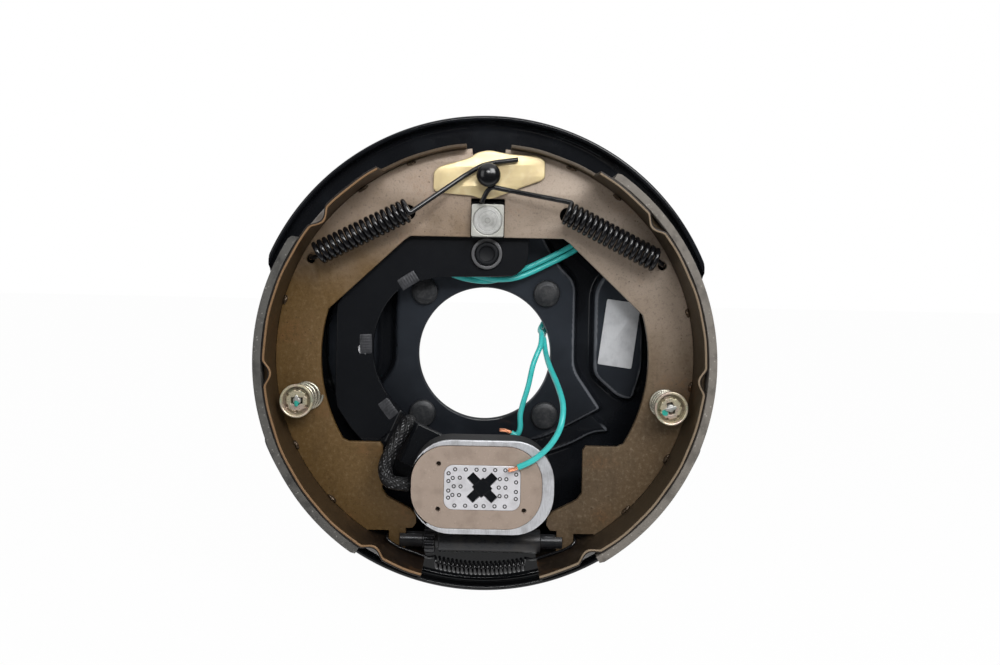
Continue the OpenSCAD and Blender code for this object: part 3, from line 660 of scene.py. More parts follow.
@dataclass(frozen=True)
class Enamel:
    """Dipped or sprayed paint: an even colour with a slight orange peel and dust, a painted sheen that makes what is
    raised towards the drum paler, painted highlights along bends, and a rubbed bare place at one point. It dries matt
    past one share of the surface's rows."""

    name: str
    colour: Colour = (0.0055, 0.0062, 0.0078)
    # colour of dust, and of the painted sheen on raised forms
    dust_and_sheen: Colour = (0.024, 0.027, 0.032)
    # colour of the painted highlights along bends
    painted_bend_highlight: Colour = (0.17, 0.18, 0.2)
    bare: Colour = (0.42, 0.42, 0.43)
    rough: float = 0.12
    spread: float = 0.08
    shine: float = 0.3
    peel: float = 0.012
    peel_size: float = 2.2
    dusting: float = 0.16
    # how strongly raised forms are painted paler, a painted sheen
    raised_sheen: float = 0.0
    matt_from: float | None = None
    chip: Triple | None = None

    def build(self) -> bpy.types.Material:
        """Colour and roughness follow two noises, and specks of dust sit on top. A painted sheen makes what is raised
        paler by its height towards the drum, more so towards the top, and painted highlights lie where the pad and the
        step below it bend, on the right-hand side.

        Returns:
            The material.
        """
        s = Shader(self.name)
        broad, fine = s.noise(38, 3), s.noise(5, 4)
        specks = s.cells(2.6).between(0.1, 0.03) * fine.between(0.45, 0.7)
        share = broad.between(0.42, 0.75) * self.dusting + specks * 0.25
        rough = self.rough + (fine - 0.5) * self.spread + specks * 0.2
        if self.matt_from:
            rough = rough + s.uv("Y").between(self.matt_from, self.matt_from + 0.03) * 0.36
        if self.raised_sheen:
            # painted sheen: raised forms near the middle paler, more so towards the top
            high = s.ramp("Y", 2.4, -3.2) * s.near((0, 0, 0), 90, 16, 6) * (s.ramp("Z", -50, 45) * 0.65 + 0.35)
            share = (share + high * (broad * 0.6 + 0.7) * self.raised_sheen).smaller(1.0)
        base = s.blend(share, self.colour, self.dust_and_sheen)
        if self.raised_sheen:
            # painted highlights along the bends of the pad and the step, on the right-hand side
            pad_bend = s.ramp("Y", -3.36, -3.0) * s.ramp("Y", -0.4, -1.9)
            step_bend = s.ramp("Y", 0.72, 1.0) * s.ramp("Y", 2.6, 1.5) * s.ramp("Z", -41, -45)
            right_side = s.ramp("X", 12, 46) * s.near((0, 0, 0), 92, 14, 6)
            painted_bend_highlight = (pad_bend + step_bend).smaller(1.0) * right_side * (broad + 0.2) * 0.9
            base = s.blend(painted_bend_highlight.smaller(1.0), base, self.painted_bend_highlight)
        if self.chip:
            base = s.blend(s.near(self.chip, 1.7, 0.4, 10.0), base, self.bare)
        return s.close(base, rough, s.noise(self.peel_size, 2), self.peel, shine=self.shine)


@dataclass(frozen=True)
class DippedSteel:
    """Thin bronze-brown coat on hot-rolled steel: cloudy, finely mottled and rust-stained, with painted light that
    makes it paler towards the top, and the inner half of its front edge is paler if it has one."""

    name: str
    colour: Colour
    dark: Colour
    pale: Colour
    # tone painted towards the top, as light falling from above
    top: Colour = (0.33, 0.255, 0.195)
    rust: Colour = (0.16, 0.07, 0.022)
    # heights in Z where that painted light begins and is full
    rise: tuple[float, float] = (28.0, 100.0)
    edge: Colour | None = None
    edge_y: float = -53.35
    rough: float = 0.4
    metal: float = 0.15

    def build(self) -> bpy.types.Material:
        """Height above the middle mixes in the top's tone, a painted light from above; noises of different size then
        mix the dark, the pale and the rusty coat, specks are dark pits, and the edge is what lies in front of edge_y.

        Returns:
            The material.
        """
        s = Shader(self.name)
        clouds, runs = s.noise(26, 3), s.noise(16, 3, (1.0, 1.0, 0.35))
        mottle, grain, pits = s.noise(2.4, 4, rough=0.7), s.noise(0.8, 2), s.cells(3.4).between(0.16, 0.07)
        # painted light: the coat paler towards the top, its mottle and stains weaker there
        height = (s.axis("Z") + (clouds - 0.5) * 0.05).between(self.rise[0] * MM, self.rise[1] * MM)
        base = s.blend(height, self.colour, self.top)
        base = s.blend(mottle.between(0.5, 0.72) * 0.46 * (1 - height * 0.4), base, self.pale)
        base = s.blend(mottle.between(0.5, 0.3) * 0.34, base, self.dark)
        base = s.blend(runs.between(0.54, 0.74) * 0.34 * (1 - height * 0.6), base, self.dark)
        base = s.blend(clouds.between(0.55, 0.68) * mottle.between(0.38, 0.66) * 0.55 * (1 - height * 0.5), base,
                       self.rust)
        base = s.blend((grain.between(0.5, 0.75) * 0.22 + pits * clouds.between(0.42, 0.55) * 0.6).smaller(1.0),
                       base, self.dark)
        if self.edge:
            # the front of the edge darker, and its inner half paler in patches
            u, front = s.uv("X"), s.ramp("Y", self.edge_y + 1.1, self.edge_y + 0.35)
            inner_half = u.between(0.06, 0.05).larger(u.between(0.989, 0.993))
            base = s.blend(front, base, self.dark)
            base = s.blend(front * inner_half * mottle.between(0.2, 0.42), base, self.edge)
        rough = self.rough + (clouds - 0.5) * 0.2 + (mottle - 0.5) * 0.25
        return s.close(base, rough, grain * 0.5 + mottle - pits * 0.8, 0.05, self.metal, 0.4)


@dataclass(frozen=True)
class FrictionBlock:
    """Moulded friction material: grey resin with pale and dark chips, and open pores."""

    name: str
    colour: Colour = (0.165, 0.15, 0.132)
    pale: Colour = (0.34, 0.32, 0.29)
    dark: Colour = (0.05, 0.045, 0.04)
    cloudy: float = 0.35

    def build(self) -> bpy.types.Material:
        """Scattered cells cut by noise give the chips, a finer set gives the pores.

        Returns:
            The material.
        """
        s = Shader(self.name)
        patches = s.noise(9, 3)
        chips = s.cells(1.7).between(0.34, 0.2) * s.noise(2.2, 2).between(0.5, 0.62)
        pores = s.cells(1.1).between(0.2, 0.08) * s.noise(3.1, 2).between(0.48, 0.6)
        base = s.blend(chips * 0.7, self.colour, self.pale)
        base = s.blend((pores * 0.8 + patches.between(0.45, 0.7) * self.cloudy).smaller(1.0), base, self.dark)
        return s.close(base, 0.78 + (patches - 0.5) * 0.2, s.noise(0.8, 3) - pores, 0.08, shine=0.25)


@dataclass(frozen=True)
class Plated:
    """Passivated zinc on steel: satin metal whose film drifts between two tints. It may have a dab of paint, and a
    painted shadow at its slot with painted shade in the groove round it."""

    name: str
    colour: Colour
    tint: Colour
    film: Colour
    metal: float = 0.55
    rough: float = 0.36
    dab: Triple | None = None
    dab_reach: float = 2.4
    paint: Colour = (0.02, 0.30, 0.24)
    # centre of the painted shadow in the slot and of the painted shade round it
    slot_shade_centre: Triple | None = None
    painted_groove_shade: Colour = (0.11, 0.075, 0.04)
    painted_slot_shadow: Colour = (0.008, 0.008, 0.007)

    def build(self) -> bpy.types.Material:
        """Two broad noises move the tint. The dab and the painted slot shadow lie within reach of one point each, the
        painted groove shade round that point and behind its hexagon.

        Returns:
            The material.
        """
        s = Shader(self.name)
        drift, film, fine = s.noise(8, 3), s.noise(5, 2), s.noise(0.7, 3)
        base = s.blend(drift.between(0.38, 0.66) * 0.7, self.colour, self.tint)
        base = s.blend(film.between(0.52, 0.72) * 0.45, base, self.film)
        metal, rough = self.metal, self.rough + (fine - 0.5) * 0.22
        if self.dab:
            wet = s.near(self.dab, self.dab_reach, 0.5)
            base, metal = s.blend(wet, base, self.paint), self.metal * (1 - wet)
        if self.slot_shade_centre:
            # painted shade in the groove round the hexagon
            groove_shade_mask = s.ramp("Y", -39.9, -39.3) * s.near(self.slot_shade_centre, 7.7, 0.4, 0.3)
            base = s.blend(groove_shade_mask * 0.62, base, self.painted_groove_shade)
            # painted shadow in the slot
            base = s.blend(s.near(self.slot_shade_centre, 2.9, 0.3, 1.0), base, self.painted_slot_shadow)
        return s.close(base, rough, fine, 0.015, metal)


@dataclass(frozen=True)
class BareSteel:
    """Ground, drawn, turned or blackened steel: fine scratches along one way or round a centre, a little tarnish,
    and paint behind a place along Y if it has any."""

    name: str
    colour: Colour
    tarnish: Colour
    rough: float = 0.32
    metal: float = 0.9
    stretch: Triple = (1, 1, 1)
    scratch: float = 0.5
    turned: Triple | None = None
    painted_from: float | None = None
    paint: Colour = (0.008, 0.008, 0.009)

    def build(self) -> bpy.types.Material:
        """Noise drawn out along the grinding, or round the centre, moves colour, roughness and relief.

        Returns:
            The material.
        """
        s = Shader(self.name)
        lines = s.ring_noise(self.turned, 0.9) if self.turned else s.noise(1.1, 3, self.stretch)
        clouds = s.noise(7, 3)
        share = clouds.between(0.42, 0.72) * 0.6 + lines.between(0.42, 0.72) * (0.6 * self.scratch)
        rough = self.rough + (lines - 0.5) * 0.3 * self.scratch + (clouds - 0.5) * 0.15
        base, metal = s.blend(share.smaller(1.0), self.colour, self.tarnish), self.metal
        if self.painted_from is not None:
            painted = s.ramp("Y", self.painted_from, self.painted_from + 0.5)
            base, metal = s.blend(painted, base, self.paint), self.metal * (1 - painted)
            rough = rough + painted * 0.5
        return s.close(base, rough, lines, 0.02 * self.scratch, metal)


@dataclass(frozen=True)
class Moulded:
    """Rubber or wire insulation: even colour, small ripples and a soft shine."""

    name: str
    colour: Colour
    shade: Colour
    rough: float = 0.3
    relief: float = 0.02
    shine: float = 0.5

    def build(self) -> bpy.types.Material:
        """Two noises darken it a little and move its shine.

        Returns:
            The material.
        """
        s = Shader(self.name)
        broad, fine = s.noise(6, 3), s.noise(1.2, 3)
        base = s.blend(broad.between(0.4, 0.75) * 0.5, self.colour, self.shade)
        return s.close(base, self.rough + (fine - 0.5) * 0.16, fine, self.relief, shine=self.shine)


@dataclass(frozen=True)
class BraidedYarn:
    """Varnished braid: two sets of yarns that cross over each other round a sleeve, with glints on their crowns."""

    name: str
    colour: Colour = (0.004, 0.004, 0.0045)
    glint: Colour = (0.24, 0.24, 0.25)
    yarns: float = 14.0
    slope: float = 9.0

    def build(self) -> bpy.types.Material:
        """Each set's height is the cosine of its own slanting coordinate on the sleeve's UV map; the higher shows.

        Returns:
            The material.
        """
        s = Shader(self.name)
        u, v = s.uv("X"), s.uv("Y")
        ways = [s.math("COSINE", (u * self.yarns + v * slope) * TURN) for slope in (self.slope, -self.slope)]
        over = s.math("SINE", (u * self.yarns + v * self.slope) * (TURN / 2))
        height = ways[0].larger(ways[1] + over * 0.5)
        crown = height.between(0.9, 1.25) * s.noise(1.1, 2).between(0.49, 0.58)
        base = s.blend(crown, self.colour, self.glint)
        return s.close(base, 0.4 - crown * 0.12, height, 0.13, shine=0.3)


class Palette:
    """Every finish of the brake, built once and shared between its pieces."""

    def __init__(self) -> None:
        """Builds the materials."""
        cup = {"colour": (0.64, 0.58, 0.41), "tint": (0.64, 0.47, 0.44), "film": (0.38, 0.54, 0.38), "metal": 0.6,
               "rough": 0.3}
        left = {"colour": (0.13, 0.076, 0.026), "dark": (0.05, 0.028, 0.01), "pale": (0.22, 0.148, 0.074)}
        right = {"colour": (0.115, 0.077, 0.043), "dark": (0.05, 0.034, 0.019), "pale": (0.25, 0.195, 0.13)}
        # The tables' finishes are shaded copies of the shoes' coat: near-black as painted shade on their inner faces,
        # darkest at the bottom.
        table = {"dark": (0.012, 0.007, 0.004), "rise": (-112.0, -84.0), "rough": 0.46}
        finishes = [
            # the plate's raised forms get a painted sheen, and its bends painted highlights
            Enamel("gloss_black_plate", dust_and_sheen=(0.036, 0.042, 0.052), raised_sheen=0.6, matt_from=0.6),
            Enamel("satin_black_arm", rough=0.24, shine=0.32, dust_and_sheen=(0.012, 0.014, 0.016), peel=0.02,
                   chip=(-70.9, -20.9, 2.6)),
            Enamel("gloss_black_wire", colour=(0.005, 0.005, 0.006), rough=0.14, shine=0.6, dusting=0.05, peel=0.008,
                   peel_size=1.4),
            Enamel("gloss_black_post", colour=(0.004, 0.004, 0.005), rough=0.2, shine=0.6, dusting=0.1, peel=0.012),
            Enamel("dull_black_post", rough=0.5, shine=0.2, peel=0.02),
            # The shoes' and weld beads' top tones are painted light: their coats are paler towards the top.
            DippedSteel("shoe_left", **left),
            DippedSteel("shoe_right", **right, top=(0.32, 0.255, 0.2), rise=(-30.0, 50.0)),
            # painted shade: the tables' dark coats
            DippedSteel("table_left", (0.014, 0.008, 0.005), pale=(0.1, 0.06, 0.03), edge=(0.215, 0.125, 0.06),
                        top=(0.056, 0.034, 0.015), **table),
            DippedSteel("table_right", (0.016, 0.01, 0.006), pale=(0.1, 0.076, 0.05), edge=(0.22, 0.165, 0.11),
                        top=(0.056, 0.04, 0.023), **table),
            DippedSteel("weld_bead", (0.06, 0.04, 0.024), (0.016, 0.011, 0.007), (0.2, 0.14, 0.09), rough=0.26,
                        metal=0.5, top=(0.1, 0.07, 0.045)),
            FrictionBlock("lining_left", (0.085, 0.082, 0.076), (0.26, 0.25, 0.23), (0.032, 0.031, 0.03), 0.7),
            FrictionBlock("lining_right", cloudy=0.5),
            FrictionBlock("magnet_beige", (0.31, 0.245, 0.2), (0.36, 0.29, 0.24), (0.17, 0.13, 0.105)),
            Plated("guide_gold", (0.74, 0.60, 0.33), (0.66, 0.52, 0.30), (0.80, 0.69, 0.45), metal=0.35, rough=0.34),
            # the cups get painted shade round their hexagon and a painted shadow in their slot
            Plated("cup_left_zinc", **cup, dab=(-101.2, -42, -19.4), dab_reach=1.7, paint=(0.06, 0.22, 0.22),
                   slot_shade_centre=(-104.5, -38.6, -25)),
            Plated("cup_right_zinc", **cup, dab=(101.2, -42, -27.4), dab_reach=2.3, slot_shade_centre=(104.5, -38.6, -25)),
            Plated("pin_zinc", (0.5, 0.5, 0.48), (0.4, 0.4, 0.38), (0.4, 0.46, 0.4), dab=(-104.5, -42, -27.6),
                   dab_reach=2.6),
            Plated("hold_spring", (0.60, 0.55, 0.44), (0.45, 0.45, 0.4), (0.45, 0.5, 0.42), metal=0.7, rough=0.26),
            BareSteel("magnet_steel", (0.68, 0.69, 0.72), (0.4, 0.4, 0.415), rough=0.34, stretch=(5, 1, 0.25),
                      scratch=1.0, metal=0.42, painted_from=-54.2),
            BareSteel("core_steel", (0.76, 0.75, 0.78), (0.54, 0.53, 0.55), metal=0.3, scratch=0.3),
            BareSteel("block_steel", (0.5, 0.5, 0.46), (0.33, 0.325, 0.29), rough=0.36, stretch=(0.3, 1, 5),
                      metal=0.45),
            BareSteel("turned_pin_steel", (0.62, 0.62, 0.6), (0.2, 0.2, 0.185), rough=0.3, metal=0.5, scratch=1.0,
                      turned=(0, -31.4, 78.2)),
            BareSteel("pivot_grey", (0.15, 0.15, 0.155), (0.07, 0.07, 0.074), rough=0.36, metal=0.6),
            BareSteel("mark_dark", (0.022, 0.021, 0.022), (0.06, 0.056, 0.056), rough=0.4, metal=0.3),
            BareSteel("coil_varnish", (0.07, 0.05, 0.035), (0.03, 0.022, 0.016), rough=0.3, metal=0.0),
            BareSteel("black_oxide", (0.02, 0.021, 0.024), (0.045, 0.04, 0.036), rough=0.3, metal=0.4,
                      stretch=(0.3, 3, 3)),
            BareSteel("stud_dark", (0.019, 0.021, 0.024), (0.05, 0.05, 0.052), rough=0.46, metal=0.3, scratch=1.0),
            BareSteel("worn_strap", (0.055, 0.056, 0.062), (0.014, 0.015, 0.017), rough=0.4, metal=0.3,
                      stretch=(3, 1, 0.5), scratch=1.0),
            BareSteel("bare_plate", (0.66, 0.67, 0.69), (0.5, 0.51, 0.53), rough=0.36, stretch=(4, 1, 0.3),
                      scratch=0.4, metal=0.4),
            BareSteel("bush_bronze", (0.42, 0.3, 0.15), (0.22, 0.15, 0.08), stretch=(6, 1, 0.35)),
            BareSteel("copper_wire", (0.80, 0.36, 0.2), (0.5, 0.2, 0.12), rough=0.25, metal=0.6, stretch=(6, 1, 0.35)),
            Moulded("black_rubber", (0.018, 0.018, 0.018), (0.035, 0.035, 0.034), rough=0.55, shine=0.3),
            Moulded("teal_insulation", (0.045, 0.49, 0.47), (0.022, 0.35, 0.33), rough=0.24, relief=0.03),
            BraidedYarn("black_braid"),
        ]
        self.materials = {finish.name: finish.build() for finish in finishes}

    def __getitem__(self, name: str) -> bpy.types.Material:
        """The material of this name."""
        return self.materials[name]


# The brake's sub-assemblies


@dataclass
class Assembly:
    """What every sub-assembly shares: the palette, and how a piece takes its finish, its body and its node's place."""

    palette: Palette

    def add(self, piece: bpy.types.Object, finish: str, beside: str, rides: bool = True) -> bpy.types.Object:
        """Gives a piece its finish, and the body of the CAD node beside it.

        Args:
            piece: the new piece.
            finish: name of its material.
            beside: the CAD node whose body it takes.
            rides: whether it rides on that body. A piece that reaches between two bodies doesn't.

        Returns:
            The same piece.
        """
        piece.data.materials.clear()
        piece.data.materials.append(self.palette[finish])
        if rides:
            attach(piece, frame["nodes"][beside]["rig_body"])
        log.info("%s: %d faces, at %s", piece.name, len(piece.data.polygons), beside)
        return piece

    def dress(self, piece: bpy.types.Object, finish: str, node: str, rides: bool = True) -> bpy.types.Object:
        """Adds a piece in the place of a CAD node.

        Args:
            piece: the new piece.
            finish: name of its material.
            node: the CAD node that it stands for, whose body it takes.
            rides: whether it rides on that body.

        Returns:
            The same piece.
        """
        self.add(piece, finish, node, rides)
        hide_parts(node)
        return piece

    def soften(self, name: str, node: str, edge: float, finish: str, **how: object) -> None:
        """Puts a softened copy of a CAD node in that node's place."""
        self.dress(softened(name, node, edge, **how), finish, node)

    def lathe(self, name: str, node: str, profile: np.ndarray, edge: float, centre: Triple, steps: int, finish: str,
              closed: bool = False) -> None:
        """Puts a turned piece, whose profile's corners are rounded, in a CAD node's place.

        Args:
            name: the piece's name.
            node: the CAD node.
            profile: rows of radius and place along Y.
            edge: how far its corners are rounded.
            centre: a point of its axis.
            steps: points in a turn.
            finish: name of its material.
            closed: whether it has a bore, so that its profile's last point joins its first.
        """
        made = Surface().lathe(eased(profile, edge, 3, closed), centre, steps, closed).make(name)
        self.dress(made, finish, node)

    def coat(self, node: str, finish: str) -> None:
        """Gives a CAD node that stays as it is its finish.

        Args:
            node: the CAD node.
            finish: name of its material.
        """
        kept = frame["nodes"][node]
        for place in kept.material_slots:
            place.material = self.palette[finish]
        if not kept.material_slots:
            kept.data.materials.append(self.palette[finish])
        log.info("%s stays, as %s", node, finish)


@dataclass
class BackingPlate(Assembly):
    """The pressed plate with its rolled rim, the studs through it, its plugs, grommet and bare metal plate."""

    rim_r: float = 142.8
    flat_x: float = 131.0
    hole_r: float = 39.3
    sheet: float = 3.4
    floor_y: float = 4.1
    lip_y: float = -3.4
    rises: tuple[float, float] = (7.5, 3.4)
    wall: float = 4.6
    bend: float = 4.5
    lip_r: float = 1.5
    stud_at: float = 36.5
    stud_r: float = 4.76
    stud_l: float = 32.0
    thread_pitch: float = 1.27
    thread_depth: float = 0.62
    grommet_at: tuple[float, float] = (62.0, 70.0)
    columns: int = 512
    pad_half: tuple = ((0, 116), (19, 116), (28, 90), (36, 68), (44.5, 54.5), (55, 44), (55, -8), (72, -32.5),
                       (66, -36), (45, -47.5), (34, -52.5), (0, -57))
    step_half: tuple = ((0, -50), (60, -30), (75.7, -44), (76, -47), (66, -48), (56, -54), (45, -58.5),
                        (36, -61.5), (0, -66))
    island: tuple = ((64.5, 40), (64.5, -9), (66.5, -14), (80, -26), (90, -28), (96, -8), (96, 20), (86, 42),
                     (72, 52))

    @property
    def inner(self) -> float:
        """Radius of the rolled rim's inner face."""
        return self.rim_r - 2 * self.lip_r

    @property
    def outer_bend(self) -> float:
        """Radius of the bend on the axle side, round the one on the drum side and the rim."""
        return self.bend + 2 * self.lip_r

    @property
    def back_y(self) -> float:
        """Place of the floor's axle side."""
        return self.floor_y + self.sheet

    def forms(self) -> list[tuple[np.ndarray, float]]:
        """The forms pressed up towards the drum: the pad, the two islands beside it and the step below it.

        Returns:
            Each form's outline with rounded corners, and its rise above the floor.
        """
        whole = lambda half: np.vstack([half, np.asarray(half)[-2:0:-1] * (-1, 1)])
        island = np.asarray(self.island, float)
        pad, step = self.rises
        return [(eased(whole(self.pad_half), 6, 4, True), pad), (eased(island, 7, 4, True), pad),
                (eased(island * (-1, 1), 7, 4, True), pad), (eased(whole(self.step_half), 5, 4, True), step)]

    def rise(self, places: np.ndarray, inset: float) -> np.ndarray:
        """Height above the floor: the largest, over the forms, of the rise times a smooth step of the distance
        to the form's outline.

        Args:
            places: points in X and Z, one row each.
            inset: how far the outlines are drawn in.

        Returns:
            One height for each point.
        """
        height = np.zeros(len(places))
        for outline, full in self.forms():
            away = outline_distance(places, outline) + inset
            width = self.wall * (0.6 + 0.4 * full / self.rises[0])
            height = np.maximum(height, full * smooth_step((0.35 * width - away) / width))
        return height

    def trimmed(self, grid: np.ndarray) -> np.ndarray:
        """Cuts the rings off at the two flat sides: what lies past one is drawn in along its own radius, and held
        between the drum-side and the axle-side height that the rim's section has there.

        Args:
            grid: points in millimetres, of shape (rings, columns, 3).

        Returns:
            The same grid with its sides cut straight.
        """
        bend, lip_r, inner, outer_bend = self.bend, self.lip_r, self.inner, self.outer_bend
        out = np.hypot(grid[..., 0], grid[..., 2])
        room = self.flat_x * out / np.maximum(np.abs(grid[..., 0]), 1e-6)
        in_bend = np.sqrt(np.clip(bend**2 - np.clip(room - inner + bend, 0, bend) ** 2, 0, None))
        in_lip = np.sqrt(np.clip(lip_r**2 - (room - inner - lip_r) ** 2, 0, None))
        front = np.where(room < inner, self.floor_y - bend + in_bend, self.lip_y + lip_r - in_lip)
        past = np.clip(room - self.rim_r + outer_bend, 0, outer_bend)
        back = self.back_y - outer_bend + np.sqrt(outer_bend**2 - past**2)
        cut = out > room
        kept = np.where(cut, room / np.maximum(out, 1e-6), 1.0)
        y = np.where(cut, np.clip(grid[..., 1], front, back), grid[..., 1])
        return np.stack([grid[..., 0] * kept, y, grid[..., 2] * kept], 2)

    def plate(self) -> None:
        """The plate as one closed surface: rings from the hole's edge out over the drum side, round the rolled
        rim and back in over the axle side, cut straight at both sides."""
        bend, lip_r, inner, outer_bend = self.bend, self.lip_r, self.inner, self.outer_bend
        front_r = np.concatenate([[self.hole_r + 0.8], np.linspace(self.hole_r + 1.8, inner - bend, 84)])
        back_r = np.linspace(self.rim_r - outer_bend, self.hole_r + 0.8, 62)
        rim = np.vstack([arc((inner - bend, self.floor_y - bend), bend, 90, 0, 6)[1:],
                         arc((inner + lip_r, self.lip_y + lip_r), lip_r, 180, 360, 8),
                         arc((self.rim_r - outer_bend, self.back_y - outer_bend), outer_bend, 0, 90, 8)[:-1]])
        a = circle(self.columns)
        rows = []
        for radii, inset, base in ((front_r, 0.0, self.floor_y), (back_r, 3.0, self.back_y)):
            flat = about_y(radii[:, None], base, a)
            flat[..., 1] -= self.rise(flat[..., [0, 2]].reshape(-1, 2), inset).reshape(flat.shape[:2])
            rows.append(flat)
        pad_y = self.floor_y - self.rises[0]
        bore = about_y(self.hole_r, np.array([[pad_y + self.sheet - 0.8], [pad_y + 0.8]]), a)
        grid = np.vstack([rows[0], about_y(rim[:, :1], rim[:, 1:], a), rows[1], bore])
        plate = Surface().grid(self.trimmed(grid), along=True).make("pressed_backing_plate", 50)
        self.dress(plate, "gloss_black_plate", "backing_plate")

    def studs(self) -> None:
        """Four studs: a domed head on the pad, and a shank whose radius falls by the thread's depth times a
        triangle wave of the place along it less a share of the turn."""
        head = eased(np.array([[0, -7.2], [5.2, -7.1], [7.6, -6.2], [8, -5.2], [8, -3.4], [0, -3.4]]), 0.9, 4)
        rows, sides = 214, 22
        y = np.linspace(-3.4, self.stud_l, rows)[:, None]
        a = circle(sides)
        phase = (y / self.thread_pitch - a / TURN) % 1
        cut = self.thread_depth * (1 - np.abs(2 * phase - 1)) * smooth_step((y - 4) / 1.2)
        taper = 0.9 * smooth_step((y - self.stud_l + 1.4) / 1.4)
        r = self.stud_r - cut - taper
        made = Surface()
        for x in (-1, 1):
            for z in (-1, 1):
                at = np.array([x * self.stud_at, 0, z * self.stud_at])
                made.lathe(head, tuple(at), 40)
                made.grid(about_y(r, y, a) + at)
        self.dress(made.make("flange_studs", 45), "stud_dark", "mounting_studs")

    def small_pieces(self) -> None:
        """The plugs in the adjusting slots, the lead grommet and the bare metal plate."""
        self.soften("slot_plug_pair", "slot_plugs", 0.5, "black_rubber", segments=3)
        x, z = self.grommet_at
        profile = np.array([[0, 2.9], [3.2, 2.7], [5.9, 2.6], [6.5, 4.1], [4.98, 4.1], [4.98, 7.5], [6.5, 7.5],
                            [5.9, 9.0], [3.2, 8.9], [0, 8.7]])
        self.lathe("lead_grommet", "wire_grommet", profile, 0.6, (x, 0, z), 40, "black_rubber")
        loops = [eased(loop, 1.2, 4, True) for loop in face_loops("blank_plate", -3.8)]
        self.dress(pressed_sheet("bare_metal_plate", loops, -3.8, -3.4, 0.12), "bare_plate", "blank_plate")

    def build(self) -> None:
        """Builds the plate and what is fixed to it."""
        self.plate()
        self.studs()
        self.small_pieces()


@dataclass
class AnchorGroup(Assembly):
    """The anchor post with the guide plate on it, and the arm's pivot post with its ring."""

    post_z: float = 103.5
    pivot_z: float = 59.3

    def build(self) -> None:
        """Builds the turned posts, the guide plate and the ring."""
        post = np.vstack([
            [[0, 3.5], [7.2, 3.5], [8.8, 1.2], [8.8, 0], [6.5, 0], [6.5, -3.4], [11, -3.4], [11, -5.7], [8, -6.9],
             [8, -27.1], [4.5, -27.1], [4.5, -36.98], [6.3, -36.98]],
            arc((0, 0), 1, 0, -90, 14) * (6.85, 4.35) + (0, -37.45)])
        self.lathe("domed_anchor_post", "anchor_post", post, 0.5, (0, 0, self.post_z), 72, "gloss_black_post")
        loops = [eased(loop, 3.0, 6, True) if len(loop) < 30 else loop
                 for loop in face_loops("anchor_guide_plate", -29.075)]
        self.dress(pressed_sheet("gold_guide_plate", loops, -29.075, -27.075, 0.75), "guide_gold",
                   "anchor_guide_plate")
        pivot = np.array([[0, 2], [8.9, 2], [8.9, 0], [5.9, 0], [5.9, -3.4], [12.9, -3.4], [12.9, -6], [8.9, -15.57],
                          [6.9, -15.57], [6.9, -23.6], [6.1, -24.37], [4.5, -24.37], [4.5, -22.9], [0, -22.4]])
        centre = (0, 0, self.pivot_z)
        self.lathe("riveted_pivot_post", "pivot_post", pivot, 0.4, centre, 64, "dull_black_post")
        ring = np.array([[7.0, -22.77], [8.95, -22.77], [8.95, -21.3], [7.0, -21.3]])
        self.lathe("arm_retaining_ring", "pivot_ring", ring, 0.35, centre, 64, "pivot_grey", closed=True)


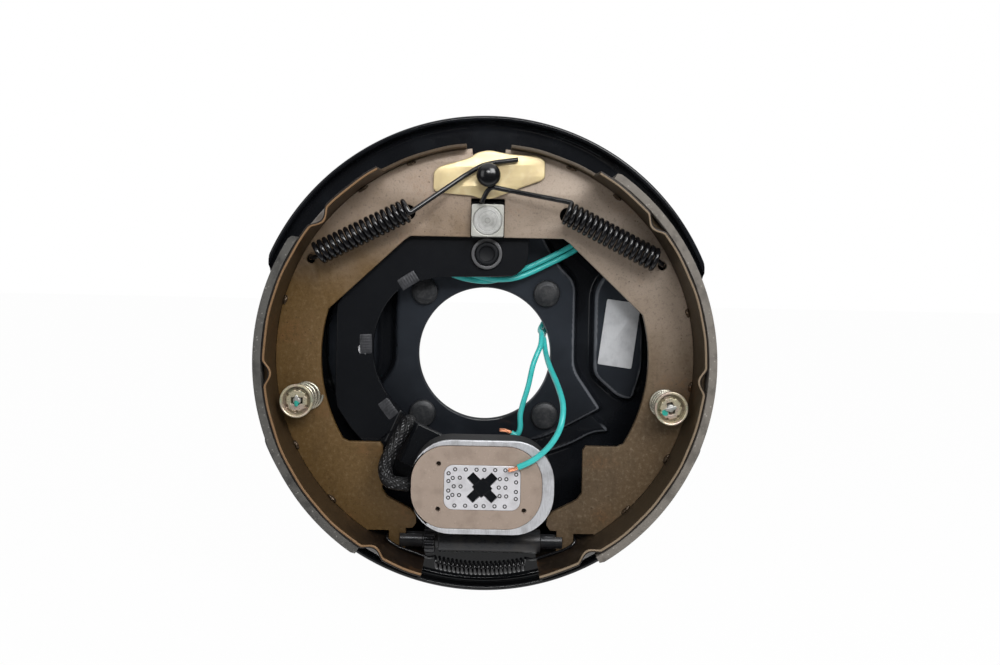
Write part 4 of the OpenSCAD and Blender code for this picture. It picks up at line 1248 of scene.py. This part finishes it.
@dataclass
class Shoe(Assembly):
    """One brake shoe: its web, its curved table with dimples in both edges, its lining and its welds."""

    side: Side = Side.RIGHT
    role: str = "secondary"
    finish: str = "shoe_right"
    lining_low: float = 59.0
    lining_top: float = 56.0
    weld_angles: tuple[float, ...] = (51.5, 66.5, 13.5, -7.0, -28.0, -46.0)
    table_low: float = 74.5
    table_top: float = 84.0
    y0: float = -53.35
    y1: float = 3.8
    web_y: tuple[float, float] = (-26.475, -23.075)
    radii: Triple = (120.0, 122.0, 126.5)
    narrow: float = 21.0
    narrow_from: float = 60.0
    dimples: tuple[float, ...] = (40.0, -4.0, -60.5)
    dimple_half: float = 3.5
    dimple_depth: float = 3.7
    dimple_reach: float = 7.0
    notch_z: float = 88.5
    notch_half: tuple[float, float] = (10.3, 1.4)
    notch_lift: float = 2.6
    weld_half: Triple = (2.9, 1.2, 1.4)
    taper: tuple[float, float] = (0.8, 1.2)

    def section(self, inner: float, outer: float, edge: float, pieces: int) -> np.ndarray:
        """A closed section in Y and radius, cut finely along its two long sides.

        Args:
            inner: its inner radius.
            outer: its outer radius.
            edge: how far its corners are rounded.
            pieces: points along a long side.

        Returns:
            Rows of Y and radius.
        """
        y = np.linspace(self.y0, self.y1, pieces)
        corners = np.vstack([np.stack([y, np.full(pieces, inner)], 1), np.stack([y[::-1], np.full(pieces, outer)], 1)])
        sharp = np.zeros(len(corners), bool)
        sharp[[0, pieces - 1, pieces, -1]] = True
        soft = eased(corners, edge, 3, True).reshape(len(corners), 4, 2)
        return np.vstack([soft[i] if sharp[i] else corners[i:i + 1] for i in range(len(corners))])

    def swept(self, section: np.ndarray, angles: np.ndarray, radial: np.ndarray, share: np.ndarray) -> np.ndarray:
        """Carries a section round the shoe.

        Args:
            section: rows of Y and radius.
            angles: degrees, one for each row of the grid.
            radial: what is added to each point's radius, of shape (angles, section).
            share: what its width is at each angle, as a share of the whole.

        Returns:
            Points of shape (angles, section, 3).
        """
        middle = sum(self.web_y) / 2
        a = np.radians(angles)[:, None]
        r = section[None, :, 1] + radial
        y = middle + (section[None, :, 0] - middle) * share[:, None]
        return about_y(r, y, a) * (self.side.value, 1, 1)

    def table(self) -> None:
        """The table: its radius falls at each dimple by the depth times a bell over the angle, and by two small
        waves, times a step that leaves only the dimple's reach from the edge. Its width steps in at the top."""
        section = self.section(*self.radii[:2], 0.6, 26)
        near_step = np.linspace(self.narrow_from - 0.4, self.narrow_from + 0.4, 9)
        angles = np.sort(np.concatenate([np.linspace(-self.table_low, self.table_top, 330), near_step]))
        from_edge = np.minimum(section[:, 0] - self.y0, self.y1 - section[:, 0])
        edge = smooth_step(1 - from_edge / self.dimple_reach)[None]
        bell = sum(np.clip(1 - ((angles - c) / self.dimple_half) ** 2, 0, 1) ** 1.6 for c in self.dimples)
        waves = 0.22 * np.sin(np.radians(angles) * 31 + self.side.value) + 0.15 * np.sin(np.radians(angles) * 17)
        radial = -(self.dimple_depth * bell[:, None] + 0.5 * (waves[:, None] + 0.37)) * edge
        share = 1 - (1 - self.narrow / (self.y1 - self.y0)) * smooth_step((angles - self.narrow_from + 0.3) / 0.6)
        made = Surface().grid(self.swept(section, angles, radial, share)).make(f"{self.role}_curved_table", 50)
        # the table takes the shaded copy of its shoe's coat, with painted shade
        self.dress(made, self.finish.replace("shoe", "table"), f"{self.role}_table")

    def lining(self) -> None:
        """The lining: a plain section carried from one end to the other, its outer face tapered at both ends."""
        section = self.section(self.radii[1], self.radii[2], 0.5, 12)
        angles = np.linspace(-self.lining_low, self.lining_top, 220)
        from_end = np.minimum(angles + self.lining_low, self.lining_top - angles)
        outer = (section[:, 1] > sum(self.radii[1:]) / 2)[None]
        depth, reach = self.taper
        radial = -depth * (1 - smooth_step(from_end / reach))[:, None] * outer
        grid = self.swept(section, angles, radial, np.ones(len(angles)))
        self.dress(Surface().grid(grid).make(f"{self.role}_bonded_lining", 40), self.finish.replace("shoe", "lining"),
                   f"{self.role}_lining")

    def web(self) -> None:
        """The web: the CAD's outline and holes, with rolled edges, and more room above the actuator block."""
        y0, y1 = self.web_y
        loops = face_loops(f"{self.role}_web", y0)
        for loop in loops:
            top = (np.abs(loop - (0, self.notch_z)) < self.notch_half).all(1)
            loop[top, 1] += self.notch_lift
        made = pressed_sheet(f"{self.role}_flat_web", loops, y0, y1, 0.55)
        self.dress(made, self.finish, f"{self.role}_web")

    def welds(self) -> None:
        """A bead where each weld joins web and table, half sunk in both."""
        made = Surface()
        for count, degrees in enumerate(self.weld_angles):
            a = math.radians(degrees)
            out = np.array([self.side.value * math.cos(a), 0, math.sin(a)])
            along = np.array([-self.side.value * math.sin(a), 0, math.cos(a)])
            at = out * (self.radii[0] - 0.9) + np.array([0, self.web_y[0] - 0.3, 0])
            made.ball(at, np.array(self.weld_half), np.array([along, out, [0, 1, 0]]), count + 7)
        self.add(made.make(f"{self.role}_weld_beads", 60), "weld_bead", f"{self.role}_web")

    def build(self) -> None:
        """Builds the shoe's pieces."""
        self.table()
        self.lining()
        self.web()
        self.welds()


@dataclass
class ReturnSprings(Assembly):
    """The two return springs, from the webs' outer holes to the neck of the anchor post."""

    wire: float = 2.8
    coil_d: float = 14.0
    turns: int = 17
    inner_end: tuple[float, float] = (46.0, 82.2)
    outer_end: tuple[float, float] = (95.0, 57.2)
    spring_y: float = -39.375
    hook: tuple[float, float] = (101.0, 54.5)
    web_y: tuple[float, float] = (-26.475, -23.075)
    post_z: float = 103.5
    neck_r: float = 4.5
    play: float = 0.95
    steps: int = 30

    def route(self, to_post: Sequence[Sequence[float]], hand: int, last: float) -> np.ndarray:
        """Hook, coil and long end as one line. The coil's point is its axis' point, plus the radius times the
        cosine of its turn towards the web and the sine of it across; both ends bend off along their tangents.

        Args:
            to_post: the places that the long end passes, on the right-hand side.
            hand: 1 or -1, which way the coil winds.
            last: the share of a turn after the whole ones.

        Returns:
            The line's points.
        """
        a = np.array([self.outer_end[0], self.spring_y, self.outer_end[1]])
        b = np.array([self.inner_end[0], self.spring_y, self.inner_end[1]])
        way = unit(b - a)
        t = np.linspace(0, self.turns + last, int((self.turns + last) * self.steps) + 1)[:, None]
        ring = np.cos(TURN * t) * np.array([0, 1, 0]) + hand * np.sin(TURN * t) * np.cross([0, 1, 0], way)
        coil = a + (b - a) * (t / self.turns) + (self.coil_d - self.wire) / 2 * ring
        x, z = self.hook[0] + way[0] * self.play, self.hook[1] + way[2] * self.play
        foot = np.array([[x, self.web_y[1] + 3, z], [x, self.web_y[0] - 4.6, z]])
        start = eased(np.vstack([foot, coil[:1] - unit(coil[1:2] - coil[:1]) * 1.2]), 2.4, 8)
        end = eased(np.vstack([coil[-1:] + unit(coil[-1:] - coil[-2:-1]) * 0.3,
                               coil[-1:] + unit(coil[-1:] - coil[-2:-1]) * 2.6, to_post]), 3.0, 8)
        return np.vstack([start, coil, end])

    def build(self) -> None:
        """Builds both springs. Each runs from the post to its shoe."""
        loop = self.neck_r + 0.3 + self.wire / 2
        z = self.post_z
        ways = {
            "primary": (((14, -33.2, z - 0.6), (4.5, -31.2, z + loop - 0.6), (0, -31.2, z + loop + 0.8),
                         (-5, -31.2, z + loop + 1.8), (-16.6, -31.2, z + 9.6)), 1, 0.5),
            "secondary": (((12, -35.9, z - 8.4), (2, -34.9, z - loop - 0.2), (-0.6, -34.9, z - loop - 2.6),
                           (-3.7, -34.9, z - 15.5)), -1, 0.625),
        }
        for role, (way, hand, last) in ways.items():
            side = -1 if role == "primary" else 1
            path = self.route(way, hand, last) * (side, 1, 1)
            made = Surface().tube(path, self.wire / 2, 14).make(f"{role}_shoe_spring", 60)
            self.dress(made, "gloss_black_wire", f"{role}_return_spring", rides=False)
            side * 0.012
            side * 0.097
            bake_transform(made)


@dataclass
class Adjuster(Assembly):
    """The star-wheel adjuster between the shoes, and the spring that bows under it."""

    web_y: float = -24.775
    web_half: float = 1.7
    coil_low: float = -121.5
    coil_rise: float = 3.0
    half: float = 26.0
    hole_x: float = 53.0
    wire: float = 1.6
    coil_d: float = 7.8
    turns: int = 21
    steps: int = 24

    def spring(self) -> None:
        """The spring in two halves: the coil's axis is a parabola, and each end runs up to its hook."""
        drum, axle = self.web_y - self.web_half, self.web_y + self.web_half
        side = self.hole_x + self.wire / 2 + 0.3
        hook = np.array([[29.5, drum - 0.9, -115.2], [32.5, drum - 1.6, -114.3], [38, drum - 1.8, -112.2],
                         [46.6, drum - 2.2, -109.4], [52, drum - 2.6, -106.2], [side, drum - 1.4, -104],
                         [side, axle + 3, -104]])
        total = self.turns * self.steps
        i = np.arange(total + 1)
        s = 2 * i / total - 1
        w = TURN * i / self.steps + TURN / 4
        r = (self.coil_d - self.wire) / 2
        coil = np.stack([self.half * s, self.web_y + r * np.cos(w), self.coil_low + self.coil_rise * s**2
                         + r * np.sin(w)], 1)
        middle = total // 2
        halves = {"primary": np.vstack([eased(hook * (-1, 1, 1), 2.0, 6)[::-1], coil[:middle + 1]]),
                  "secondary": np.vstack([coil[middle:], eased(hook, 2.0, 6)])}
        for (role, path), side_of in zip(halves.items(), (-1, 1)):
            made = Surface().tube(path, self.wire / 2, 12).make(f"{role}_half_of_adjuster_spring", 60)
            if role == "primary":
                self.dress(made, "gloss_black_wire", "adjuster_spring", rides=False)
            else:
                self.add(made, "gloss_black_wire", "adjuster_spring", rides=False)
            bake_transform(made)

    def build(self) -> None:
        """Builds the screw, nut, socket and washer from the CAD's shapes with rounded edges, and the spring."""
        for name, node, edge in (("forked_socket", "adjuster_socket", 0.45), ("thin_washer", "thrust_washer", 0.12),
                                 ("toothed_star_screw", "adjuster_star_screw", 0.3),
                                 ("long_forked_nut", "adjuster_nut", 0.55)):
            self.soften(name, node, edge, "black_oxide")
        self.spring()


@dataclass
class ActuatingArm(Assembly):
    """The arm, its bush and block pin, the block that it turns in, and the leads that it carries."""

    lead_d: float = 3.2
    pitch: float = 3.6
    turn: float = -55.0
    twist: tuple[int, int] = (18, 22)
    sleeved: int = 5
    windows: tuple = ((-45, 43.2, 33), (-69.1, 6, 92), (-55.5, -31.4, 128))
    strap_y: float = -20.72
    strap_half: Triple = (5.6, 3.5, 0.55)
    way: tuple = (
        (-38.4, -21.7, -28.3), (-37.6, -19, -27), (-38, -15.6, -26.8), (-40.4, -13.4, -29.4), (-45, -13.2, -36),
        (-51.5, -13.2, -42), (-59, -13.9, -42), (-66, -13.9, -35), (-72, -13.9, -26), (-77.4, -13.9, -12),
        (-78.8, -13.9, 6), (-75.6, -13.9, 22), (-67.5, -13.9, 36), (-58.5, -13.9, 45), (-49.5, -13.9, 50.5),
        (-42, -13.9, 55), (-34, -13.6, 55), (-26, -12.8, 51), (-13, -12, 46.5), (0, -11.5, 44.2), (10, -11, 45),
        (20, -9.6, 48), (36, -7.6, 55.6), (48, -6, 62), (56.5, -4.6, 67.4), (60.5, -2.6, 69.4), (62, -0.6, 70),
        (62, 1, 70), (62, 2.6, 70))

    def straps(self) -> None:
        """The three strips that hold the leads, seen in the windows of the arm: each a small cushion, whose height
        falls with the fourth power of the place across it, with ribs that follow a cosine of the place along it."""
        u, v = np.meshgrid(np.linspace(-1, 1, 57), np.linspace(-1, 1, 17), indexing="ij")
        made = Surface()
        for x, z, degrees in self.windows:
            long, wide, high = self.strap_half
            cushion = (high + 0.045 * np.cos(22 * u)) * (1 - 0.5 * u**4) * (1 - 0.7 * v**4)
            across, up = rotated(long * u - 0.3, wide * v, math.radians(degrees))
            faces = [np.stack([x + across, self.strap_y + way * cushion, z + up], 2) for way in (-1, 1)]
            made.grid(faces[0], around=False).grid(faces[1][::-1], around=False)
        self.add(made.make("lead_holding_straps"), "worn_strap", "actuating_arm")

    def leads(self) -> None:
        """Two leads that lie beside each other: the route moved off to both sides, by half the pitch, at an angle
        that turns half round between two of its points. They come out of the sleeve behind the arm."""
        route = np.asarray(self.way, float)
        first, second = carried_frames(route)
        made = Surface()
        along = np.clip((np.arange(len(route)) - self.twist[0]) / (self.twist[1] - self.twist[0]), 0, 1)
        for start in (self.turn, self.turn + 180):
            w = np.radians(start + 180 * along)[:, None]
            beside = route + self.pitch / 2 * (np.cos(w) * first + np.sin(w) * second)
            made.tube(smooth_route(beside[self.sleeved:], 6), self.lead_d / 2, 14)
        pair = self.dress(made.make("paired_inner_leads", 60), "teal_insulation", "inner_leads", rides=False)
        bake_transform(pair)

    def build(self) -> None:
        """Builds the arm and what turns with it."""
        spared = [(x, z) for x, z, _ in self.windows]
        self.soften("bowed_actuating_arm", "actuating_arm", 0.7, "satin_black_arm", segments=3, spared=spared)
        self.soften("bronze_arm_bush", "arm_bushing", 0.15, "bush_bronze")
        self.soften("round_block_pin", "block_pin", 0.5, "turned_pin_steel")
        self.soften("square_actuator_block", "actuator_block", 0.5, "block_steel")
        self.straps()
        self.leads()


@dataclass
class Magnet(Assembly):
    """The electromagnet on the arm's lower end, its clip, pin and spring, and the braided sleeve of its leads."""

    centre_z: float = -67.7
    front_y: float = -55.35
    mark_r: float = 0.86
    mark_half: tuple[float, float] = (0.33, 0.11)
    marks_at: tuple[float, float] = (18.3, 9.8)
    spring_turns: float = 1.5
    spring_r: tuple[float, float] = (7.4, 10.4)
    spring_y: tuple[float, float] = (-35.35, -32.45)
    spring_wire: float = 1.4
    sleeve_d: float = 8.0
    sleeve_way: tuple = (
        (-51.5, -13.2, -42), (-47.6, -13.8, -40.4), (-44.4, -16.6, -39), (-43.2, -22, -38.2),
        (-43, -28, -38), (-44.4, -33.2, -40.2), (-48, -36, -46), (-52, -39, -54),
        (-54.3, -41, -62), (-51.5, -42.6, -68), (-45, -43, -69.5), (-39.1, -43, -69.5))
    marks_row: tuple[float, ...] = (-14.8, -9.0, -3.2, 1.0, 6.9, 12.4)
    marks_side: tuple[float, ...] = (7.6, 3.4, -1.8, -5.6)
    marks_inner: tuple = ((-16.0, 5.1), (-12.2, 5.3), (9.5, 5.0), (13.0, 5.0), (-15.4, 0.6), (-11.7, 0.6),
                          (9.0, 0.4), (12.6, 0.4), (-16.0, -4.1), (-12.4, -4.1), (9.5, -4.2), (13.1, -4.3))

    def marks(self) -> None:
        """Small rings pressed round the edge of the core plate: each is a torus, half sunk."""
        side_x, row_z = self.marks_at
        places = [(x, s * row_z) for x in self.marks_row for s in (-1, 1)]
        places += [(s * side_x, z) for z in self.marks_side for s in (-1, 1)] + list(self.marks_inner)
        a, w = circle(14)[:, None], circle(6)
        wide, high = self.mark_half
        ring = about_y(self.mark_r + wide * np.cos(w), self.front_y + 0.02 + high * np.sin(w), a)
        made = Surface()
        for x, z in places:
            made.grid(ring + np.array([x, 0, self.centre_z + z]), along=True)
        self.add(made.make("core_ring_marks", 80), "mark_dark", "magnet_core_plate")

    def sleeve(self) -> None:
        """The sleeve: a tube whose radius wanders a little, drawn in at both ends."""
        path = smooth_route(self.sleeve_way, 10)
        sides = 28
        s = np.linspace(0, 1, len(path))[:, None]
        a = circle(sides)
        swell = 1 + 0.03 * np.sin(17 * s + 2 * a) + 0.02 * np.sin(41 * s - a) - 0.4 * (1 - smooth_step((s - 0.1) / 0.2))
        swell = swell - 0.2 * smooth_step((s - 0.95) / 0.05)
        made = Surface().tube(path, self.sleeve_d / 2 * swell * 0.985, sides).make("braided_lead_sleeve", 70)
        self.dress(made, "black_braid", "lead_sleeve", rides=False)
        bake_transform(made)

    def spring(self) -> None:
        """The follower spring: a flat spiral that widens towards the arm."""
        points = 60
        w, r, y = (np.linspace(*ends, points) for ends in ((0, TURN * self.spring_turns), self.spring_r, self.spring_y))
        path = about_y(r, y, w) + (0, 0, self.centre_z)
        made = Surface().tube(path, self.spring_wire / 2, 12).make("magnet_follower_spring", 60)
        self.dress(made, "hold_spring", "magnet_spring", rides=False)
        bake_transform(made)

    def build(self) -> None:
        """Builds the magnet's pieces. The coil inside stays the CAD's."""
        self.soften("magnet_steel_housing", "magnet_housing", 0.6, "magnet_steel")
        self.soften("magnet_beige_face", "magnet_face", 0.3, "magnet_beige")
        self.soften("magnet_core_cover", "magnet_core_plate", 0.35, "core_steel")
        self.soften("magnet_cross_clip", "magnet_clip", 0.3, "satin_black_arm")
        self.soften("magnet_carrier_pin", "magnet_pin", 0.4, "pivot_grey")
        self.coat("magnet_coil", "coil_varnish")
        self.marks()
        self.sleeve()
        self.spring()


@dataclass
class HoldDown(Assembly):
    """One hold-down: a cup with a pressed hexagon, the spring behind it and the pin through both."""

    side: Side = Side.RIGHT
    pin_turn: float = 14.0
    at: tuple[float, float] = (104.5, -25.0)
    cup_y: float = -37.775
    rim: float = 4.2
    bore_r: float = 2.42
    floor_r: float = 7.5
    floor: float = 1.2
    hex_r: float = 6.2
    hex_lift: float = 1.3
    dimple_r: float = 1.0
    dimple_depth: float = 1.4
    slot_half: tuple[float, float] = (3.5, 1.9)
    turns: int = 4
    steps: int = 40
    coil_r: float = 7.6
    lean: tuple[float, float] = (-1.8, 1.0)
    pin_r: float = 2.3
    head_half: Triple = (3.3, 0.75, 1.1)
    foot_r: float = 5.5
    wire: float = 1.6
    back_y: float = 7.5
    web_y: float = -26.475

    @property
    def word(self) -> str:
        """The hold-down's side in the names of its pieces."""
        return self.side.name.lower()

    @property
    def centre(self) -> np.ndarray:
        """The hold-down's axis, where Y is 0."""
        return np.array([self.side.value * self.at[0], 0.0, self.at[1]])

    def cup(self) -> None:
        """The cup: rings of a profile, whose floor is lifted by a smooth step of the distance to a hexagon, and
        let down again in a slot that crosses the pin's head and in six small dimples near the corners."""
        front = self.cup_y - self.rim
        radii = np.concatenate([[self.bore_r], np.linspace(2.6, self.floor_r, 30)])
        floor = np.stack([radii, np.full(len(radii), self.cup_y - self.floor)], 1)
        shell = eased(np.array([[self.floor_r, self.cup_y - self.floor], [8.1, front + 0.3], [8.6, front],
                                [9.2, front], [9.4, front + 0.6], [9.4, self.cup_y - 2.2], [7.4, self.cup_y],
                                [self.bore_r, self.cup_y]]), 0.7, 4)
        profile = np.vstack([floor, shell[1:]])
        a = circle(96) + math.radians(self.pin_turn)
        r = profile[:, :1]
        x, z = r * np.cos(a), r * np.sin(a)
        normals = np.radians(np.array([0, 60, 120]) + self.pin_turn + 30)
        away = np.max([np.abs(x * math.cos(n) + z * math.sin(n)) for n in normals], 0)
        lift = self.hex_lift * smooth_step((self.hex_r - away) / 0.6)
        for east, up in arc((0, 0), self.hex_r, self.pin_turn, self.pin_turn + 300, 5):
            lift = lift - self.dimple_depth * smooth_step((self.dimple_r - np.hypot(x - east, z - up)) / 0.4)
        long, wide = rotated(x, z, -math.radians(self.pin_turn + 90))
        half_long, half_wide = self.slot_half
        slot = smooth_step((half_long - np.abs(long)) / 0.5) * smooth_step((half_wide - np.abs(wide)) / 0.5)
        on_floor = (np.arange(len(profile)) < len(floor))[:, None]
        y = profile[:, 1:] + on_floor * (slot - lift * (1 - slot))
        cup = Surface().grid(np.stack([x, y, z], 2) + self.centre, along=True)
        self.dress(cup.make(f"pressed_holddown_cup_{self.word}", 50), f"cup_{self.word}_zinc",
                   f"holddown_cup_{self.word}")

    def spring(self) -> None:
        """The spring: turns of round wire, which leans a little from its foot on the web to the cup."""
        end = self.wire / 2 + 0.2
        t = np.linspace(0, 1, self.turns * self.steps)
        y = self.cup_y + end + (self.web_y - self.cup_y - 2 * end) * t
        lean = np.outer(t**1.5, (self.lean[0], 0, self.lean[1]))
        path = about_y(self.coil_r, y, TURN * self.turns * t) + lean + self.centre
        made = Surface().tube(path, self.wire / 2, 12).make(f"wound_holddown_spring_{self.word}", 60)
        self.dress(made, "hold_spring", f"holddown_spring_{self.word}", rides=False)
        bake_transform(made)

    def pin(self, made: Surface) -> None:
        """Adds the pin: a shank, a foot behind the plate, and a head that is a flattened, rounded bar.

        Args:
            made: the surface that both pins are added to.
        """
        top = self.cup_y - self.floor - 1.6
        profile = np.array([[0, top], [1.7, top], [self.pin_r, top + 0.8], [self.pin_r, self.back_y + 0.1],
                            [self.foot_r, self.back_y + 0.1], [self.foot_r, self.back_y + 1.3],
                            [self.foot_r - 0.9, self.back_y + 2], [0, self.back_y + 2]])
        made.lathe(eased(profile, 0.4, 3), tuple(self.centre), 32)
        up = np.linspace(0, math.pi, 14)[:, None]
        a = circle(36)
        power = lambda wave, n: np.sign(wave) * np.abs(wave) ** n
        half_long, half_high, half_wide = self.head_half
        long = half_long * power(np.cos(a), 0.45) * power(np.sin(up), 0.4)
        wide = half_wide * power(np.sin(a), 0.7) * power(np.sin(up), 0.4)
        y = top - 0.1 + half_high * power(np.cos(up), 0.7)
        x, z = rotated(long, wide, math.radians(self.pin_turn))
        made.grid(np.stack(np.broadcast_arrays(x, y, z), 2) + self.centre, ends=False)

    def build(self) -> None:
        """Builds the cup and the spring."""
        self.cup()
        self.spring()


@dataclass
class FreeLeads(Assembly):
    """The two leads that come out behind the plate, turn back through the spindle hole and end bare."""

    lead_d: float = 3.2
    short_way: tuple = (
        (60.5, 9, 71), (60.5, 13, 71), (58, 16, 66), (53.5, 17, 56), (48.6, 16, 44), (43, 12.5, 30), (34, 5, 15.5),
        (34, -2, 12), (33.2, -7.5, 5.8), (30.5, -11, -0.4), (28.3, -13, -6.7), (26, -14.4, -17.6),
        (22.8, -15.4, -28.7), (21.5, -16.4, -35), (21.6, -17.4, -42), (19.7, -17.4, -46), (16.4, -17.4, -44.8))
    long_way: tuple = (
        (64, 9, 68), (64, 13.5, 68), (62.5, 17.5, 62), (56.5, 20.8, 51), (49.5, 20, 39), (43, 16, 26),
        (36, 6, 12), (35.6, -1, 8.5), (36.2, -8, 1.8), (37.5, -23, -4.6), (41.2, -38, -13.8),
        (43.3, -50, -22.6), (42.2, -56.6, -31), (39.6, -57.6, -38), (34.5, -57.6, -45.3), (27, -57.6, -51.7),
        (19, -57.6, -55.7))
    short_end: tuple = ((13.1, -17.4, -43.6), (9.6, -17.4, -43.4))
    long_end: tuple = ((17, -57.6, -56.7), (13.8, -57.6, -57.4))
    bundle_r: float = 0.75
    strand_r: float = 0.27
    strands: int = 11

    def bare_end(self, name: str, way: Sequence[Sequence[float]]) -> bpy.types.Object:
        """A bundle of strands: each lies off the middle line by its own radius, at an angle that turns along it,
        and they spread a little towards the tip.

        Args:
            name: the bundle's name.
            way: the places that its middle line passes.

        Returns:
            The bundle as one object.
        """
        path = smooth_route(way, 10)
        first, second = carried_frames(path)
        t = np.linspace(0, 1, len(path))
        made = Surface()
        for k in range(self.strands):
            ring = 0 if k == 0 else (0.55 if k < 5 else 1.0)
            w = TURN * k * 0.382 + 2.2 * t
            spread = self.bundle_r * ring * (1 + 0.2 * t**2 * (1 + 0.4 * math.sin(5 * k)))
            stop = len(path) - (k * 7) % 4
            offset = (spread * np.cos(w))[:, None] * first + (spread * np.sin(w))[:, None] * second
            made.tube((path + offset)[:stop], self.strand_r, 8)
        return made.make(name, 60)

    def build(self) -> None:
        """Builds both leads as free cords with their bare ends."""
        for word, way, end in (("short", self.short_way, self.short_end), ("long", self.long_way, self.long_end)):
            path = smooth_route(way, 5)
            made = Surface().tube(path, self.lead_d / 2, 16).make(f"{word}_free_lead", 60)
            self.dress(made, "teal_insulation", f"free_lead_{word}")
            tip = self.bare_end(f"{word}_copper_strands", (way[-1], *end))
            self.dress(tip, "copper_wire", f"lead_end_{word}")


@dataclass
class Studio:
    """The camera, the floor, the lamps and the world, placed for the photograph's view."""

    eye: Triple = (-0.0004, -0.5264, 0.0529)
    focal: float = 31.36
    shift: tuple[float, float] = (0.016, -0.0675)
    roll: float = -1.2
    floor_z: float = -0.1432
    ambient: float = 0.26
    front: float = 0.05

    def camera(self) -> None:
        """The camera: it looks along Y, and is turned with its place about Y through the origin."""
        data = bpy.data.cameras.new("photograph_view")
        data.sensor_width, data.lens = 36.0, self.focal
        data.shift_x, data.shift_y = self.shift
        data.clip_start, data.clip_end = 0.01, 50
        seen = bpy.data.objects.new("photograph_view", data)
        turn = math.radians(self.roll)
        x, y, z = self.eye
        x, z = rotated(x, z, -turn)
        seen.location = (x, y, z)
        seen.rotation_mode = "XYZ"
        seen.rotation_euler = (math.pi / 2, turn, 0)
        bpy.context.scene.collection.objects.link(seen)
        bpy.context.scene.camera = seen

    def lamp(self, name: str, place: Triple, size: tuple[float, float], power: float,
             colour: Colour = (1, 1, 1)) -> None:
        """Adds a soft rectangular lamp that faces the origin.

        Args:
            name: its name.
            place: where it stands, in metres.
            size: its width and height.
            power: its power in watts.
            colour: its colour.
        """
        data = bpy.data.lights.new(name, "AREA")
        data.shape, data.size, data.size_y, data.energy, data.color = "RECTANGLE", *size, power, colour
        lit = bpy.data.objects.new(name, data)
        lit.location = place
        at = -np.asarray(place)
        flat = math.hypot(at[0], at[1])
        lit.rotation_euler = (math.pi / 2 + math.atan2(at[2], flat), 0, math.atan2(-at[0], at[1]))
        bpy.context.scene.collection.objects.link(lit)

    def floor(self) -> None:
        """A wide pale floor: its own pale colour for the light, and near white to the eye, so that it meets the
        background and still keeps the object's shadow. Reflections see it white under and behind the object, and
        as dim as the room further in front."""
        size = 4.0
        mesh = bpy.data.meshes.new("floor")
        mesh.from_pydata([(-size, -size, self.floor_z), (size, -size, self.floor_z), (size, size, self.floor_z),
                          (-size, size, self.floor_z)], [], [(0, 1, 2, 3)])
        laid = bpy.data.objects.new("floor", mesh)
        bpy.context.scene.collection.objects.link(laid)
        s = Shader("pale_floor")
        near = s.axis("Y").between(-0.3, -0.04) * (1 - self.front) + self.front
        rays, mirrored = s.ray("Camera").larger(s.ray("Transmission")), s.ray("Glossy")
        plain_share = (1 - rays) * (1 - mirrored) + rays * 0.02
        plain = s.node("ShaderNodeBsdfDiffuse", sockets={"Color": (0.86, 0.86, 0.86, 1)})
        white = s.node("ShaderNodeEmission", sockets={"Color": (1, 1, 1, 1), "Strength": rays.larger(mirrored * near)})
        mixed = s.node("ShaderNodeMixShader", sockets={0: 1 - plain_share, 1: plain, 2: white})
        s.node("ShaderNodeOutputMaterial", sockets={"Surface": mixed})
        mesh.materials.append(s.material)

    def world(self) -> None:
        """White to the eye, soft grey for the object's light. Reflections see white behind and above the object,
        and fall to the dim of the room in front of it."""
        s = Shader("studio", world=True)
        bpy.context.scene.world = s.material
        seen, mirrored = s.ray("Camera").larger(s.ray("Transmission")), s.ray("Glossy")
        way = s.node("ShaderNodeTexCoord", output="Generated")
        behind, above = (s.node("ShaderNodeSeparateXYZ", sockets={"Vector": way}, output=k) for k in ("Y", "Z"))
        lit = behind.between(-0.15, 0.45).larger(above.between(0.5, 0.9)) * (1 - self.front) + self.front
        light = seen + (1 - seen) * (mirrored * lit + (1 - mirrored) * self.ambient)
        back = s.node("ShaderNodeBackground", sockets={"Color": (1, 1, 1, 1), "Strength": light})
        s.node("ShaderNodeOutputWorld", sockets={"Surface": back})

    def build(self) -> None:
        """Builds the studio and sets the plain view."""
        self.camera()
        self.floor()
        self.world()
        self.lamp("key_softbox", (0.36, -0.66, 0.5), (0.42, 0.42), 5.2)
        self.lamp("front_strip", (0.0, -0.95, 0.46), (0.3, 0.12), 2.4)
        self.lamp("front_left_softbox", (-0.8, -0.9, 0.3), (0.5, 0.8), 2.0)
        bpy.context.scene.view_settings.view_transform = "Standard"


def main() -> None:
    """Builds the studio, the leads and every sub-assembly."""
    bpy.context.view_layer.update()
    Studio().build()
    palette = Palette()
    for group in (FreeLeads, BackingPlate, AnchorGroup):
        group(palette).build()
    Shoe(palette, Side.LEFT, "primary", "shoe_left", 57.0, 32.0, (68.0, 53.0, 15.0, -26.0, -44.0)).build()
    Shoe(palette, Side.RIGHT, "secondary", "shoe_right").build()
    for group in (ReturnSprings, Adjuster, ActuatingArm, Magnet):
        group(palette).build()
    pins = Surface()
    holds = [HoldDown(palette, Side.LEFT, 90.0, lean=(4.5, 1.5)), HoldDown(palette, Side.RIGHT)]
    for hold in holds:
        hold.build()
        hold.pin(pins)
    holds[0].dress(pins.make("flat_headed_pins", 50), "pin_zinc", "holddown_pins")
    log.info("all pieces are in place")


if __name__ == "__main__":
    main()
